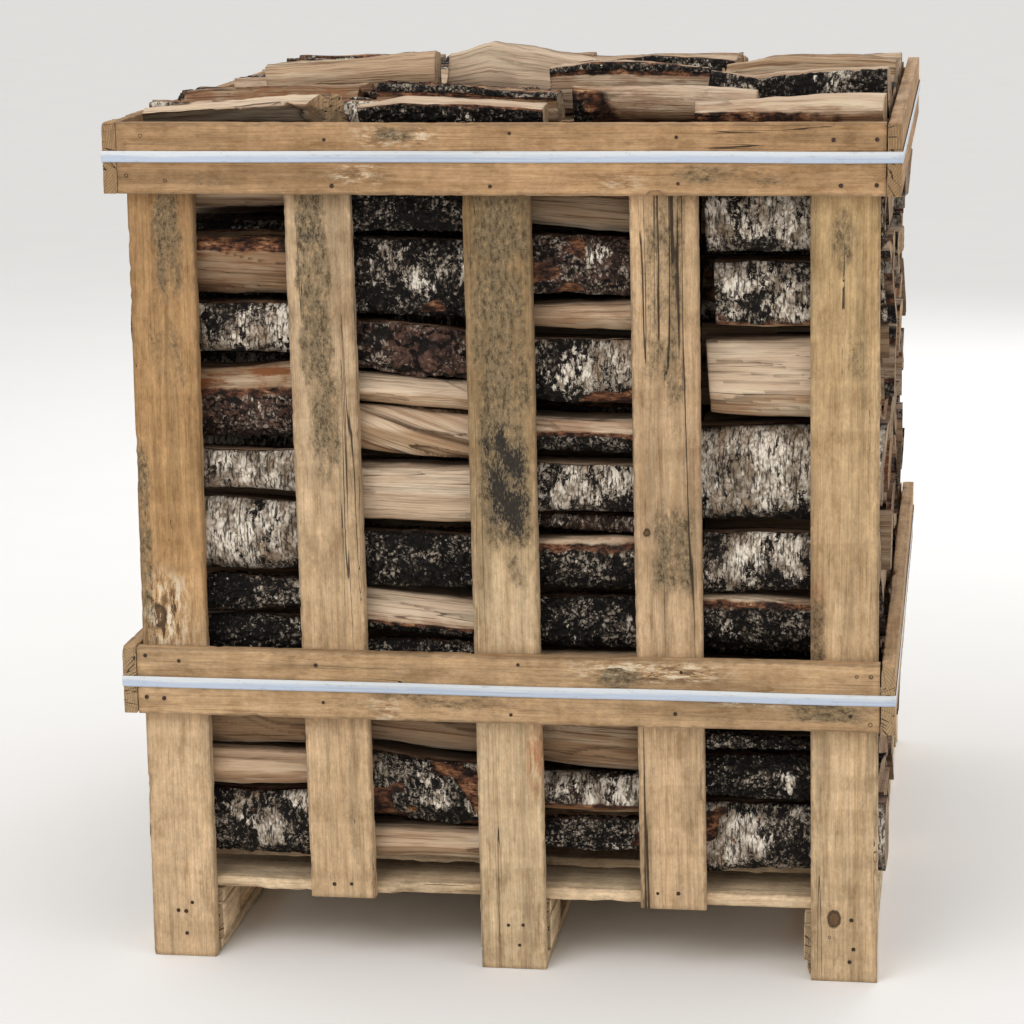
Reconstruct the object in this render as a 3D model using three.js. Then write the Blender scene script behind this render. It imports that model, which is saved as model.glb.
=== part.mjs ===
// A slatted pallet crate of split birch firewood, strapped with two plastic bands.
//
// Millimetres, +Z up. The slatted front looks along -Y, X runs to the right along it.
// The origin is on the floor, in the middle of the crate's footprint.
// From the floor up: three runners (skid, blocks, stringer board), deck boards across
// them, four stacks of split logs on the deck, slats at the front and back, and two
// frames of boards round the whole crate, each held by a strap.

import * as THREE from 'three';

// ---- driving dimensions -------------------------------------------------------------

const GAP = 0.3;                   // clearance between pieces that touch

const CRATE_WIDTH = 1040;          // over the frame boards, along X
const CRATE_DEPTH = 1200;          // over the frame boards, along Y
const BOARD_THICKNESS = 20;        // every sawn board
const FRAME_BOARD_HEIGHT = 94;
const TOP_FRAME_BOTTOM = 1058;
const TOP_BACK_BOARD_DROP = 15;    // the top frame's back board is nailed on lower
const LOWER_FRAME_BOTTOM = 352;

const SLAT_WIDTH = 90;
const SLAT_TOP = 1146;             // just below the top frame's upper edge
const SHORT_SLAT_FOOT = 93;        // the second and fourth slats stop at the deck

const RUNNER_WIDTH = 98;
const SKID_WIDTH = 90;
const BLOCK_LENGTH = 98;
const BLOCK_HEIGHT = 52;
const RUNNER_CENTRES = [-449, 8, 450];
const RUNNER_NAMES = ['left', 'middle', 'right'];

const DECK_BOARD_WIDTH = 96;
const DECK_BOARD_COUNT = 9;
const DECK_LENGTH = 998;

const LOG_LENGTH = 250;
const STACK_COUNT = 4;
const STACK_TOP = 1172;
const TROUGH_LEVEL = 1130;         // the loose top logs lie in troughs this high
const TROUGH_MARGIN = 3;           // room beside a loose log

const STRAP_WIDTH = 16;
const STRAP_THICKNESS = 0.8;
const STRAP_CORNER_RADIUS = 2;
const TOP_STRAP_CENTRE = 1108;
const LOWER_STRAP_CENTRE = 398;

// ---- places worked out from them ----------------------------------------------------

const HALF_WIDTH = CRATE_WIDTH / 2;
const HALF_DEPTH = CRATE_DEPTH / 2;
const INNER_HALF_WIDTH = HALF_WIDTH - BOARD_THICKNESS;
const SLAT_OUTER_Y = HALF_DEPTH - BOARD_THICKNESS - GAP;
const SLAT_INNER_Y = SLAT_OUTER_Y - BOARD_THICKNESS;
const STACK_HALF_DEPTH = SLAT_INNER_Y - GAP;

const BLOCK_BOTTOM = BOARD_THICKNESS + GAP;
const STRINGER_BOTTOM = BLOCK_BOTTOM + BLOCK_HEIGHT + GAP;
const DECK_BOTTOM = STRINGER_BOTTOM + BOARD_THICKNESS + GAP;
const STACK_BOTTOM = DECK_BOTTOM + BOARD_THICKNESS + GAP;

// ---- slats: centre at the top, centre at the foot, and the foot's height --------------

const FRONT_SLATS = [
  { top: -449, foot: -452, footHeight: 0 },
  { top: -240, foot: -227, footHeight: SHORT_SLAT_FOOT },
  { top: -4, foot: 9, footHeight: 0 },
  { top: 214, foot: 227, footHeight: SHORT_SLAT_FOOT },
  { top: 448, foot: 456, footHeight: 0 },
];

const BACK_SLATS = [
  { top: -450, foot: -453, footHeight: 0 },
  { top: -219, foot: -228, footHeight: SHORT_SLAT_FOOT },
  { top: 14, foot: 6, footHeight: 0 },
  { top: 236, foot: 230, footHeight: SHORT_SLAT_FOOT },
  { top: 449, foot: 454, footHeight: 0 },
];

// ---- loose logs on top: centre x and y, width along Y, height, how it was split -------

const TOP_LOGS = [
  { x: -355, y: -513, width: 88, height: 57, split: 'quarter' },
  { x: -67, y: -513, width: 88, height: 50, split: 'half' },
  { x: 205, y: -430, width: 88, height: 63, split: 'wedge' },
  { x: 373, y: -519, width: 76, height: 57, split: 'half' },
  { x: -335, y: -360, width: 100, height: 58, split: 'half' },
  { x: -68, y: -352, width: 104, height: 60, split: 'quarter' },
  { x: 143, y: -195, width: 88, height: 74, split: 'quarter' },
  { x: 373, y: -300, width: 98, height: 72, split: 'half' },
  { x: -285, y: -60, width: 118, height: 82, split: 'half' },
  { x: -30, y: 12, width: 122, height: 94, split: 'wedge' },
  { x: 130, y: 170, width: 94, height: 62, split: 'quarter' },
  { x: 373, y: 52, width: 104, height: 64, split: 'half' },
];

// ---- materials ------------------------------------------------------------------------

const sawnBoard = new THREE.MeshStandardMaterial({ color: 0xb99b72, roughness: 0.85, metalness: 0 });
const palletWood = new THREE.MeshStandardMaterial({ color: 0x9c7c54, roughness: 0.9, metalness: 0 });
const stackedBirch = new THREE.MeshStandardMaterial({ color: 0x5e5149, roughness: 0.9, metalness: 0 });
const splitBirch = new THREE.MeshStandardMaterial({ color: 0xc9a277, roughness: 0.85, metalness: 0 });
const strapPlastic = new THREE.MeshStandardMaterial({ color: 0xd6e2f5, roughness: 0.35, metalness: 0 });

// ---- the crate ------------------------------------------------------------------------

const crate = new THREE.Group();

function addMesh(parent, name, geometry, material) {
  const mesh = new THREE.Mesh(geometry, material);
  mesh.name = name;
  parent.add(mesh);
  return mesh;
}

// A straight sawn piece that fills a box, given by its lowest and highest corner.
function addSawnPiece(parent, name, low, high, material) {
  const size = high.map((value, axis) => value - low[axis]);
  const centre = high.map((value, axis) => (value + low[axis]) / 2);
  const mesh = addMesh(parent, name, new THREE.BoxGeometry(...size), material);
  mesh.position.set(...centre);
}

// Turns a shape drawn in (x, y) and extruded along z so that it is drawn in (Y, Z)
// and runs along X.
function layAlongX(geometry) {
  const basis = new THREE.Matrix4().makeBasis(
    new THREE.Vector3(0, 1, 0),
    new THREE.Vector3(0, 0, 1),
    new THREE.Vector3(1, 0, 0),
  );
  return geometry.applyMatrix4(basis);
}

// One runner: a skid on the floor, three blocks on it and a stringer board over them.
function buildRunner(name, centre) {
  const runner = new THREE.Group();
  runner.position.x = centre;
  addSawnPiece(
    runner,
    `skid_${name}`,
    [-SKID_WIDTH / 2, -STACK_HALF_DEPTH, 0],
    [SKID_WIDTH / 2, STACK_HALF_DEPTH, BOARD_THICKNESS],
    palletWood,
  );
  const endBlock = STACK_HALF_DEPTH - BLOCK_LENGTH / 2;
  const blockPlaces = { front: -endBlock, middle: 0, back: endBlock };
  for (const [place, y] of Object.entries(blockPlaces)) {
    addSawnPiece(
      runner,
      `block_${name}_${place}`,
      [-RUNNER_WIDTH / 2, y - BLOCK_LENGTH / 2, BLOCK_BOTTOM],
      [RUNNER_WIDTH / 2, y + BLOCK_LENGTH / 2, BLOCK_BOTTOM + BLOCK_HEIGHT],
      palletWood,
    );
  }
  addSawnPiece(
    runner,
    `stringer_${name}`,
    [-RUNNER_WIDTH / 2, -STACK_HALF_DEPTH, STRINGER_BOTTOM],
    [RUNNER_WIDTH / 2, STACK_HALF_DEPTH, STRINGER_BOTTOM + BOARD_THICKNESS],
    palletWood,
  );
  return runner;
}

// Deck boards across the runners, evenly spaced from the front slats to the back ones.
function buildDeck() {
  const deck = new THREE.Group();
  const pitch = (2 * STACK_HALF_DEPTH - DECK_BOARD_WIDTH) / (DECK_BOARD_COUNT - 1);
  for (let i = 0; i < DECK_BOARD_COUNT; i += 1) {
    const front = -STACK_HALF_DEPTH + i * pitch;
    addSawnPiece(
      deck,
      `deck_board_${i + 1}`,
      [-DECK_LENGTH / 2, front, DECK_BOTTOM],
      [DECK_LENGTH / 2, front + DECK_BOARD_WIDTH, DECK_BOTTOM + BOARD_THICKNESS],
      palletWood,
    );
  }
  return deck;
}

// A slat is a board that may lean sideways, so its face is a parallelogram whose ends
// stay level.
function buildSlat(name, { top, foot, footHeight }) {
  const half = SLAT_WIDTH / 2;
  const outline = new THREE.Shape([
    new THREE.Vector2(foot - half, footHeight),
    new THREE.Vector2(foot + half, footHeight),
    new THREE.Vector2(top + half, SLAT_TOP),
    new THREE.Vector2(top - half, SLAT_TOP),
  ]);
  const geometry = new THREE.ExtrudeGeometry(outline, { depth: BOARD_THICKNESS, bevelEnabled: false });
  geometry.rotateX(Math.PI / 2);
  const slat = new THREE.Group();
  addMesh(slat, name, geometry, sawnBoard);
  return slat;
}

// The slats of one side, in one plane; lowY is where their faces towards -Y lie.
function buildSlatRow(side, slats, lowY) {
  const row = new THREE.Group();
  slats.forEach((slat, i) => row.add(buildSlat(`slat_${side}_${i + 1}`, slat)));
  row.position.y = lowY + BOARD_THICKNESS;
  return row;
}

// A frame of four boards: the side boards run the full depth and cover the ends of the
// front and back boards. The back board may be nailed on lower than the others.
function buildFrame(name, bottom, backDrop) {
  const frame = new THREE.Group();
  const frontEnd = INNER_HALF_WIDTH - GAP;
  const innerY = HALF_DEPTH - BOARD_THICKNESS;
  const boards = {
    front: [[-frontEnd, -HALF_DEPTH], [frontEnd, -innerY], bottom],
    back: [[-frontEnd, innerY], [frontEnd, HALF_DEPTH], bottom - backDrop],
    left: [[-HALF_WIDTH, -HALF_DEPTH], [-INNER_HALF_WIDTH, HALF_DEPTH], bottom],
    right: [[INNER_HALF_WIDTH, -HALF_DEPTH], [HALF_WIDTH, HALF_DEPTH], bottom],
  };
  for (const [side, [low, high, foot]] of Object.entries(boards)) {
    const top = foot + FRAME_BOARD_HEIGHT;
    addSawnPiece(frame, `${name}_frame_${side}`, [...low, foot], [...high, top], sawnBoard);
  }
  return frame;
}

// A rounded rectangle as a path, for the inside and the outside of a strap.
function roundedRectangle(path, halfX, halfY, radius) {
  path.moveTo(halfX, -halfY + radius);
  path.lineTo(halfX, halfY - radius);
  path.absarc(halfX - radius, halfY - radius, radius, 0, Math.PI / 2);
  path.lineTo(-halfX + radius, halfY);
  path.absarc(-halfX + radius, halfY - radius, radius, Math.PI / 2, Math.PI);
  path.lineTo(-halfX, -halfY + radius);
  path.absarc(-halfX + radius, -halfY + radius, radius, Math.PI, 1.5 * Math.PI);
  path.lineTo(halfX - radius, -halfY);
  path.absarc(halfX - radius, -halfY + radius, radius, 1.5 * Math.PI, 2 * Math.PI);
  return path;
}

// A flat band pulled tight round a frame.
function buildStrap(name, centre) {
  const innerX = HALF_WIDTH + GAP;
  const innerY = HALF_DEPTH + GAP;
  const outline = roundedRectangle(
    new THREE.Shape(),
    innerX + STRAP_THICKNESS,
    innerY + STRAP_THICKNESS,
    STRAP_CORNER_RADIUS + STRAP_THICKNESS,
  );
  outline.holes.push(roundedRectangle(new THREE.Path(), innerX, innerY, GAP));
  const geometry = new THREE.ExtrudeGeometry(outline, {
    depth: STRAP_WIDTH,
    bevelEnabled: false,
    curveSegments: 4,
  });
  const strap = new THREE.Group();
  const mesh = addMesh(strap, name, geometry, strapPlastic);
  mesh.position.z = centre - STRAP_WIDTH / 2;
  return strap;
}

// The stretches of Y where loose logs lie on the stack that spans lowX to highX, joined
// where they meet and kept inside the stack.
function troughsOver(lowX, highX) {
  const near = (LOG_LENGTH + highX - lowX) / 2;
  const over = TOP_LOGS.filter(({ x }) => Math.abs(x - (lowX + highX) / 2) < near);
  const troughs = [];
  for (const { y, width } of over.sort((a, b) => a.y - b.y)) {
    const reach = width / 2 + TROUGH_MARGIN;
    const start = Math.max(y - reach, -STACK_HALF_DEPTH);
    const end = Math.min(y + reach, STACK_HALF_DEPTH);
    const last = troughs.at(-1);
    if (last && start <= last.end) {
      last.end = Math.max(last.end, end);
    } else {
      troughs.push({ start, end });
    }
  }
  return troughs;
}

// Side view of one stack, in (Y, Z): a block whose top is cut down where loose logs lie.
function stackOutline(lowX, highX) {
  const levels = [];
  let reached = -STACK_HALF_DEPTH;
  for (const { start, end } of troughsOver(lowX, highX)) {
    if (start > reached) {
      levels.push({ from: reached, to: start, level: STACK_TOP });
    }
    levels.push({ from: start, to: end, level: TROUGH_LEVEL });
    reached = end;
  }
  levels.push({ from: reached, to: STACK_HALF_DEPTH, level: STACK_TOP });
  const outline = new THREE.Shape();
  outline.moveTo(-STACK_HALF_DEPTH, STACK_BOTTOM);
  outline.lineTo(STACK_HALF_DEPTH, STACK_BOTTOM);
  for (const { from, to, level } of levels.reverse()) {
    outline.lineTo(to, level);
    outline.lineTo(from, level);
  }
  return outline;
}

// Four stacks of logs side by side, each one log long, from slats to slats.
function buildStacks() {
  const stacks = new THREE.Group();
  const left = -INNER_HALF_WIDTH + GAP;
  const pitch = (-2 * left) / STACK_COUNT;
  for (let i = 0; i < STACK_COUNT; i += 1) {
    const start = left + i * pitch;
    const geometry = layAlongX(
      new THREE.ExtrudeGeometry(stackOutline(start, start + pitch), {
        depth: pitch - GAP,
        bevelEnabled: false,
      }),
    );
    const mesh = addMesh(stacks, `log_stack_${i + 1}`, geometry, stackedBirch);
    mesh.position.x = start + GAP / 2;
  }
  return stacks;
}

// The end of a split log that lies on a flat face. A half is a low arch, a quarter is
// an arch cut off square, and a wedge has two split faces that meet in a ridge.
function splitLogOutline(split, width, height) {
  const half = width / 2;
  const arcSteps = 10;
  const outline = [new THREE.Vector2(-half, 0), new THREE.Vector2(half, 0)];
  if (split === 'wedge') {
    outline.push(new THREE.Vector2(half, height * 0.3), new THREE.Vector2(width * 0.08, height));
    return new THREE.Shape(outline);
  }
  const start = split === 'half' ? 0 : Math.PI / 5;
  const end = split === 'half' ? Math.PI : Math.PI / 2;
  const reach = Math.cos(start);
  for (let i = 0; i <= arcSteps; i += 1) {
    const angle = start + (i / arcSteps) * (end - start);
    const across = split === 'half'
      ? half * Math.cos(angle)
      : -half + (width * Math.cos(angle)) / reach;
    const up = height * (0.3 + 0.7 * Math.sin(angle));
    outline.push(new THREE.Vector2(across, up));
  }
  return new THREE.Shape(outline);
}

function buildTopLogs() {
  const logs = new THREE.Group();
  TOP_LOGS.forEach(({ x, y, width, height, split }, i) => {
    const outline = splitLogOutline(split, width, height);
    const geometry = layAlongX(
      new THREE.ExtrudeGeometry(outline, { depth: LOG_LENGTH, bevelEnabled: false }),
    );
    const name = `top_log_${String(i + 1).padStart(2, '0')}`;
    const mesh = addMesh(logs, name, geometry, splitBirch);
    mesh.position.set(x - LOG_LENGTH / 2, y, TROUGH_LEVEL + GAP);
  });
  return logs;
}

RUNNER_NAMES.forEach((name, i) => crate.add(buildRunner(name, RUNNER_CENTRES[i])));
crate.add(buildDeck());
crate.add(buildSlatRow('front', FRONT_SLATS, -SLAT_OUTER_Y));
crate.add(buildSlatRow('back', BACK_SLATS, SLAT_INNER_Y));
crate.add(buildFrame('lower', LOWER_FRAME_BOTTOM, 0));
crate.add(buildFrame('top', TOP_FRAME_BOTTOM, TOP_BACK_BOARD_DROP));
crate.add(buildStrap('strap_lower', LOWER_STRAP_CENTRE));
crate.add(buildStrap('strap_top', TOP_STRAP_CENTRE));
crate.add(buildStacks());
crate.add(buildTopLogs());

export default crate;
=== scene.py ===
# %% [markdown]
# # A pallet crate of split birch firewood
# Sawn slats and two frames of boards hold four stacks of split birch logs on a small
# pallet, and a plastic band runs round each frame. The sizes come from a fixed frame of
# plain solids. This lesson gives every solid its real surface: rough-sawn boards, split
# faces with torn fibres, furrowed and papery bark, and sawn log ends.

# %% Load the fixed frame
import math

import bpy
import numpy as np
from mathutils import Matrix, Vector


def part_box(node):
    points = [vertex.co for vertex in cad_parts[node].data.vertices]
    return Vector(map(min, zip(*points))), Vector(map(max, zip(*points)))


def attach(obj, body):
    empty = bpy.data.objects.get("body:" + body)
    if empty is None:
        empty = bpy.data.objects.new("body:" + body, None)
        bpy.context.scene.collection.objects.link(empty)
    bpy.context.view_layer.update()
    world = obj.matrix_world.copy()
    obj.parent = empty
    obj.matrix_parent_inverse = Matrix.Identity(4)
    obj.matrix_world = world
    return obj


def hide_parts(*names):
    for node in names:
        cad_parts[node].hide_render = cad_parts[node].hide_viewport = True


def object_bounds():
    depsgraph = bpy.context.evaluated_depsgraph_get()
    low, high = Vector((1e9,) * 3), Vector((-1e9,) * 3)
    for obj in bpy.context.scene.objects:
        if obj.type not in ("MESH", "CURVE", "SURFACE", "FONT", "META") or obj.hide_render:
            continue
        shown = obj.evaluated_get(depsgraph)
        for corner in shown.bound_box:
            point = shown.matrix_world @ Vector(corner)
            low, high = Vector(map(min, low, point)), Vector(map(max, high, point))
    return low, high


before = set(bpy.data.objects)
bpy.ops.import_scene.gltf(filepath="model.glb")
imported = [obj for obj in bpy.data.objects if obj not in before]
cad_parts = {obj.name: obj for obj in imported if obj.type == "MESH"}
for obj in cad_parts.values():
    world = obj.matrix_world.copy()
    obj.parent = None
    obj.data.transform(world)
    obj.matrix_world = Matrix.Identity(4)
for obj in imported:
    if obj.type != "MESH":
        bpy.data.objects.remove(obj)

cad_low, cad_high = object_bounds()
print("crate", [round(high - low, 3) for low, high in zip(cad_low, cad_high)], "m")

# %% [markdown]
# ## The camera
# A long lens far away keeps the crate's upright boards almost parallel. A camera looks
# along its own -Z, so the last quarter turn lifts its view from the floor to the front.
# The turns before it swing the view to the left, tip it down and level it.

# %% Camera
CAMERA_PLACE = (0.606, -4.539, 1.501)
camera_data = bpy.data.cameras.new("crate_camera")
camera_data.sensor_width = 36
camera_data.lens = 109.02
camera = bpy.data.objects.new("crate_camera", camera_data)
bpy.context.scene.collection.objects.link(camera)
swing = Matrix.Rotation(math.radians(8.51), 4, "Z")
tip = Matrix.Rotation(math.radians(-12.17), 4, "X")
level = Matrix.Rotation(math.radians(0.77), 4, "Y")
lift = Matrix.Rotation(math.radians(90), 4, "X")
camera.matrix_world = Matrix.Translation(CAMERA_PLACE) @ swing @ tip @ level @ lift
bpy.context.scene.camera = camera
print("camera at", CAMERA_PLACE, "lens", camera_data.lens, "mm")

# %% [markdown]
# ## Noise made by hand
# Bark and torn wood are irregular at every size, so their shapes start from noise. Value
# noise gives each point of a whole-number lattice a fixed random height and blends the
# eight heights round a place smoothly. Adding finer and weaker copies makes it rough. It
# is worked out for whole arrays at once, and the same place always gives the same value.

# %% Value noise and its sums
def lattice_height(i, j, k):
    """A fixed random number from 0 to 1 for each whole-number point: its three numbers times
    large odd numbers are mixed by exclusive or, shifted and multiplied again."""
    mixed = (i * 73856093) ^ (j * 19349663) ^ (k * 83492791)
    mixed = ((mixed ^ (mixed >> 13)) * 1274126177) & 0x7FFFFFFF
    mixed = ((mixed ^ (mixed >> 16)) * 668265263) & 0x7FFFFFFF
    return ((mixed >> 7) & 0xFFFF) / 65535.0


def noise(x, y, z=0.0):
    """Value noise from -1 to 1: the heights at the cell's eight corners, blended along each
    direction by the curve 6t^5 - 15t^4 + 10t^3 of the distance t from the lower corner."""
    x, y, z = np.broadcast_arrays(np.asarray(x, float), y, z)
    i, j, k = (np.floor(v).astype(np.int64) for v in (x, y, z))
    u, v, w = (t * t * t * (t * (t * 6 - 15) + 10) for t in (x - i, y - j, z - k))
    level = []
    for dk in (0, 1):
        rows = []
        for dj in (0, 1):
            low = lattice_height(i, j + dj, k + dk)
            high = lattice_height(i + 1, j + dj, k + dk)
            rows.append(low + (high - low) * u)
        level.append(rows[0] + (rows[1] - rows[0]) * v)
    return (level[0] + (level[1] - level[0]) * w) * 2 - 1


def rough_noise(x, y, z=0.0, layers=4):
    """Noise plus copies of it, each twice as fine and 0.55 as strong as the last."""
    total, weight, size = 0.0, 1.0, 1.0
    for layer in range(layers):
        total = total + weight * noise(x * size, y * size, z * size + 17.3 * layer)
        weight *= 0.55
        size *= 2.03
    return total / 1.9


def smooth_step(low, high, value):
    """0 below low, 1 above high, and 3t^2 - 2t^3 between them."""
    t = np.clip((value - low) / (high - low), 0, 1)
    return t * t * (3 - 2 * t)


def terrace(value, edge=0.16):
    """Flat steps: the whole part of the value, with a short smooth rise before the next."""
    whole = np.floor(value)
    return whole + smooth_step(1 - edge, 1.0, value - whole)


def plate_gap(x, y, seed):
    """Distance from the crack between two cells of a scattered pattern: every lattice square
    holds one random point, and the value is the second nearest distance less the nearest."""
    x, y = np.broadcast_arrays(x, y)
    i, j = np.floor(x).astype(np.int64), np.floor(y).astype(np.int64)
    key = int(seed) % 4096
    nearest, second = np.full(x.shape, 9.0), np.full(x.shape, 9.0)
    for di in (-1, 0, 1):
        for dj in (-1, 0, 1):
            px = i + di + lattice_height(i + di, j + dj, key + 0 * i)
            py = j + dj + lattice_height(i + di, j + dj, key + 7919 + 0 * i)
            distance = np.hypot(x - px, y - py)
            second = np.minimum(second, np.maximum(nearest, distance))
            nearest = np.minimum(nearest, distance)
    return second - nearest


print("noise sample", np.round(noise(np.linspace(0, 3, 4), 0.5, 0.5), 2))

# %% [markdown]
# ## From a grid to a closed mesh
# A log and a board are both a closed outline carried along a straight path and shut at
# the two ends. All their vertices fit in one table: each row is the outline at one place
# along the path. The first and the last rows shrink to a single point, which closes the
# ends. Many such tables are joined in one mesh, because thousands of objects are slow.

# %% Meshes from tables of points
def tube_faces(rows, around):
    """Corner numbers of a closed tube whose first and last vertex are the two end points and
    whose rows between them are rings. Ring corner (r, s) joins (r, s + 1), (r + 1, s + 1)
    and (r + 1, s). Returns the four-cornered faces and the three-cornered ones."""
    s = np.arange(around)
    following = (s + 1) % around
    first = 1 + np.arange(rows - 1)[:, None] * around
    quads = np.stack([first + s, first + following, first + around + following, first + around + s], -1)
    start = np.stack([np.zeros_like(s), following + 1, s + 1], -1)
    last_ring = 1 + (rows - 1) * around
    end = np.stack([last_ring + s, last_ring + following, np.full_like(s, last_ring + around)], -1)
    return quads.reshape(-1, 4), np.concatenate([start, end])

# %% [markdown]
# ## Joining the tables
# A piece keeps its tables in lists until it is built. Then every list becomes one array,
# and each array goes into the mesh in one call.

# %% A mesh from many tables
class MeshParts:
    """Collects tables of points, with what each point knows, to be joined in one mesh."""

    def __init__(self):
        self.points, self.quads, self.triangles, self.known = [], [], [], {}
        self.count = 0

    def add(self, points, quads, triangles, **known):
        """Adds one table; its corner numbers start after the points that are in already."""
        self.points.append(points)
        self.quads.append(quads + self.count)
        self.triangles.append(triangles + self.count)
        self.count += len(points)
        for name, values in known.items():
            self.known.setdefault(name, []).append(values)

    def build(self, name, material, slot, replaced=()):
        """Makes the object: all loops in one array, four-cornered faces first."""
        mesh = bpy.data.meshes.new(name)
        points = np.concatenate(self.points)
        quads, triangles = np.concatenate(self.quads), np.concatenate(self.triangles)
        corners = np.concatenate([quads.ravel(), triangles.ravel()])
        starts = np.concatenate([np.arange(len(quads)) * 4, len(quads) * 4 + np.arange(len(triangles)) * 3])
        mesh.vertices.add(len(points))
        mesh.vertices.foreach_set("co", points.astype(np.float32).ravel())
        mesh.loops.add(len(corners))
        mesh.loops.foreach_set("vertex_index", corners.astype(np.int32))
        mesh.polygons.add(len(starts))
        mesh.polygons.foreach_set("loop_start", starts.astype(np.int32))
        mesh.polygons.foreach_set("use_smooth", np.ones(len(starts), bool))
        for known, tables in self.known.items():
            values = np.concatenate(tables).astype(np.float32)
            kind, field = ("FLOAT_VECTOR", "vector") if values.shape[1] == 3 else ("FLOAT_COLOR", "color")
            mesh.attributes.new(known, kind, "POINT").data.foreach_set(field, values.ravel())
        mesh.materials.append(material)
        mesh.update(calc_edges=True)
        made = bpy.data.objects.new(name, mesh)
        bpy.context.scene.collection.objects.link(made)
        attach(made, "root")
        if replaced:
            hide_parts(*replaced)
        print(name, len(quads) * 2 + len(triangles), "triangles")
        return made


def ring_layout(body, cap_insets):
    """Rows along a closed tube: place along it from 0 to 1, share of the way to the middle of
    the end, and 1 on an end face. The end rings come first in reverse and last in order."""
    inset = np.array(cap_insets)
    along = np.concatenate([np.zeros(len(inset)), body, np.ones(len(inset))])
    inward = np.concatenate([inset[::-1], np.zeros(len(body)), inset])
    on_end = np.concatenate([np.ones(len(inset)), np.zeros(len(body)), np.ones(len(inset))])
    return along, inward, on_end


def tube_rows(table, start, end):
    """The vertex list of a closed tube: the start point, every ring, the end point."""
    return np.concatenate([start[None], table.reshape(-1, table.shape[-1]), end[None]])

# %% [markdown]
# ## Shader wiring
# A material is a small net of nodes. These helpers place one node and join its inputs, so
# that a material below reads like a recipe. An effect that several materials need is
# wired once as a node group, with its own inputs and outputs.

# %% Node helpers
def node(tree, kind, settings=None, **sockets):
    """One shader node. Keywords name its inputs, with _ for a space; in_0, in_1 and so on
    count them. A socket is joined, and any other value is written in."""
    made = tree.nodes.new(kind)
    for name, value in (settings or {}).items():
        setattr(made, name, value)
    for name, value in sockets.items():
        slot = made.inputs[int(name[3:])] if name.startswith("in_") else made.inputs[name.replace("_", " ")]
        if isinstance(value, bpy.types.NodeSocket):
            tree.links.new(value, slot)
        else:
            slot.default_value = value
    return made


def maths(tree, operation, a, b=0.0, clamp=False):
    """The result of one arithmetic step."""
    settings = {"operation": operation, "use_clamp": clamp}
    return node(tree, "ShaderNodeMath", settings, in_0=a, in_1=b).outputs[0]


def plus(tree, a, b):
    """The sum of two values."""
    return maths(tree, "ADD", a, b)


def minus(tree, a, b):
    """The first value less the second."""
    return maths(tree, "SUBTRACT", a, b)


def times(tree, a, b, clamp=False):
    """The product of two values."""
    return maths(tree, "MULTIPLY", a, b, clamp)


def blend(tree, amount, a, b, mode="MIX"):
    """Two colours mixed by amount."""
    settings = {"data_type": "RGBA", "blend_type": mode}
    made = node(tree, "ShaderNodeMix", settings, in_0=amount, in_6=a, in_7=b)
    return made.outputs[2]


def mixed_value(tree, amount, a, b):
    """Two values mixed by amount."""
    return node(tree, "ShaderNodeMix", {"data_type": "FLOAT"}, in_0=amount, in_2=a, in_3=b).outputs[0]


def step_between(tree, value, low, high, to_low=0.0, to_high=1.0):
    """The value's smooth change from to_low at low to to_high at high."""
    settings = {"interpolation_type": "SMOOTHSTEP"}
    made = node(
        tree, "ShaderNodeMapRange", settings, in_0=value, in_1=low, in_2=high, in_3=to_low, in_4=to_high
    )
    return made.outputs[0]


def stretched(tree, vector, factors):
    """A vector with each part multiplied by its own factor."""
    settings = {"operation": "MULTIPLY"}
    return node(tree, "ShaderNodeVectorMath", settings, in_0=vector, in_1=factors).outputs[0]


def noise_at(tree, vector, factors, detail=3.0, roughness=0.55):
    """Fractal noise about 0.5, at a vector multiplied by the three factors, so a large factor
    makes it fine along that direction."""
    place = stretched(tree, vector, factors)
    made = node(tree, "ShaderNodeTexNoise", Vector=place, Scale=1.0, Detail=detail, Roughness=roughness)
    return made.outputs["Fac"]


def attribute(tree, name):
    """What the mesh's points know, read by name."""
    return node(tree, "ShaderNodeAttribute", {"attribute_name": name})


def ramp(tree, value, stops):
    """A colour looked up between stops, each a place and a colour."""
    made = node(tree, "ShaderNodeValToRGB", Fac=value)
    elements = made.color_ramp.elements
    while len(elements) < len(stops):
        elements.new(0.5)
    for element, (place, colour) in zip(elements, stops):
        element.position = place
        element.color = (*colour, 1.0)
    return made.outputs["Color"]


def new_group(name, inputs, outputs):
    """An empty node group with its sockets, given as (name, kind) pairs."""
    group = bpy.data.node_groups.new(name, "ShaderNodeTree")
    for label, kind in inputs:
        group.interface.new_socket(label, in_out="INPUT", socket_type=kind)
    for label, kind in outputs:
        group.interface.new_socket(label, in_out="OUTPUT", socket_type=kind)
    return group, group.nodes.new("NodeGroupInput"), group.nodes.new("NodeGroupOutput")


def use_group(tree, group, **sockets):
    """A node that holds a group, wired like any other node."""
    return node(tree, "ShaderNodeGroup", {"node_tree": group}, **sockets)


def finish_material(tree, output, colour, roughness, height=None, strength=1.0, reach=0.001, **sockets):
    """The one shader of a material: its colour, its roughness and, where there is a height, the
    bump that a height of 1 makes by reaching that many metres."""
    if height is not None:
        bump = node(tree, "ShaderNodeBump", Strength=strength, Distance=reach, Height=height)
        sockets["Normal"] = bump.outputs[0]
    shader = node(tree, "ShaderNodeBsdfPrincipled", Base_Color=colour, Roughness=roughness, **sockets)
    tree.links.new(shader.outputs[0], output.inputs[0])


def new_material(name):
    """An empty material and its output node."""
    made = bpy.data.materials.new(name)
    made.use_nodes = True
    made.node_tree.nodes.clear()
    return made, made.node_tree, made.node_tree.nodes.new("ShaderNodeOutputMaterial")

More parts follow.
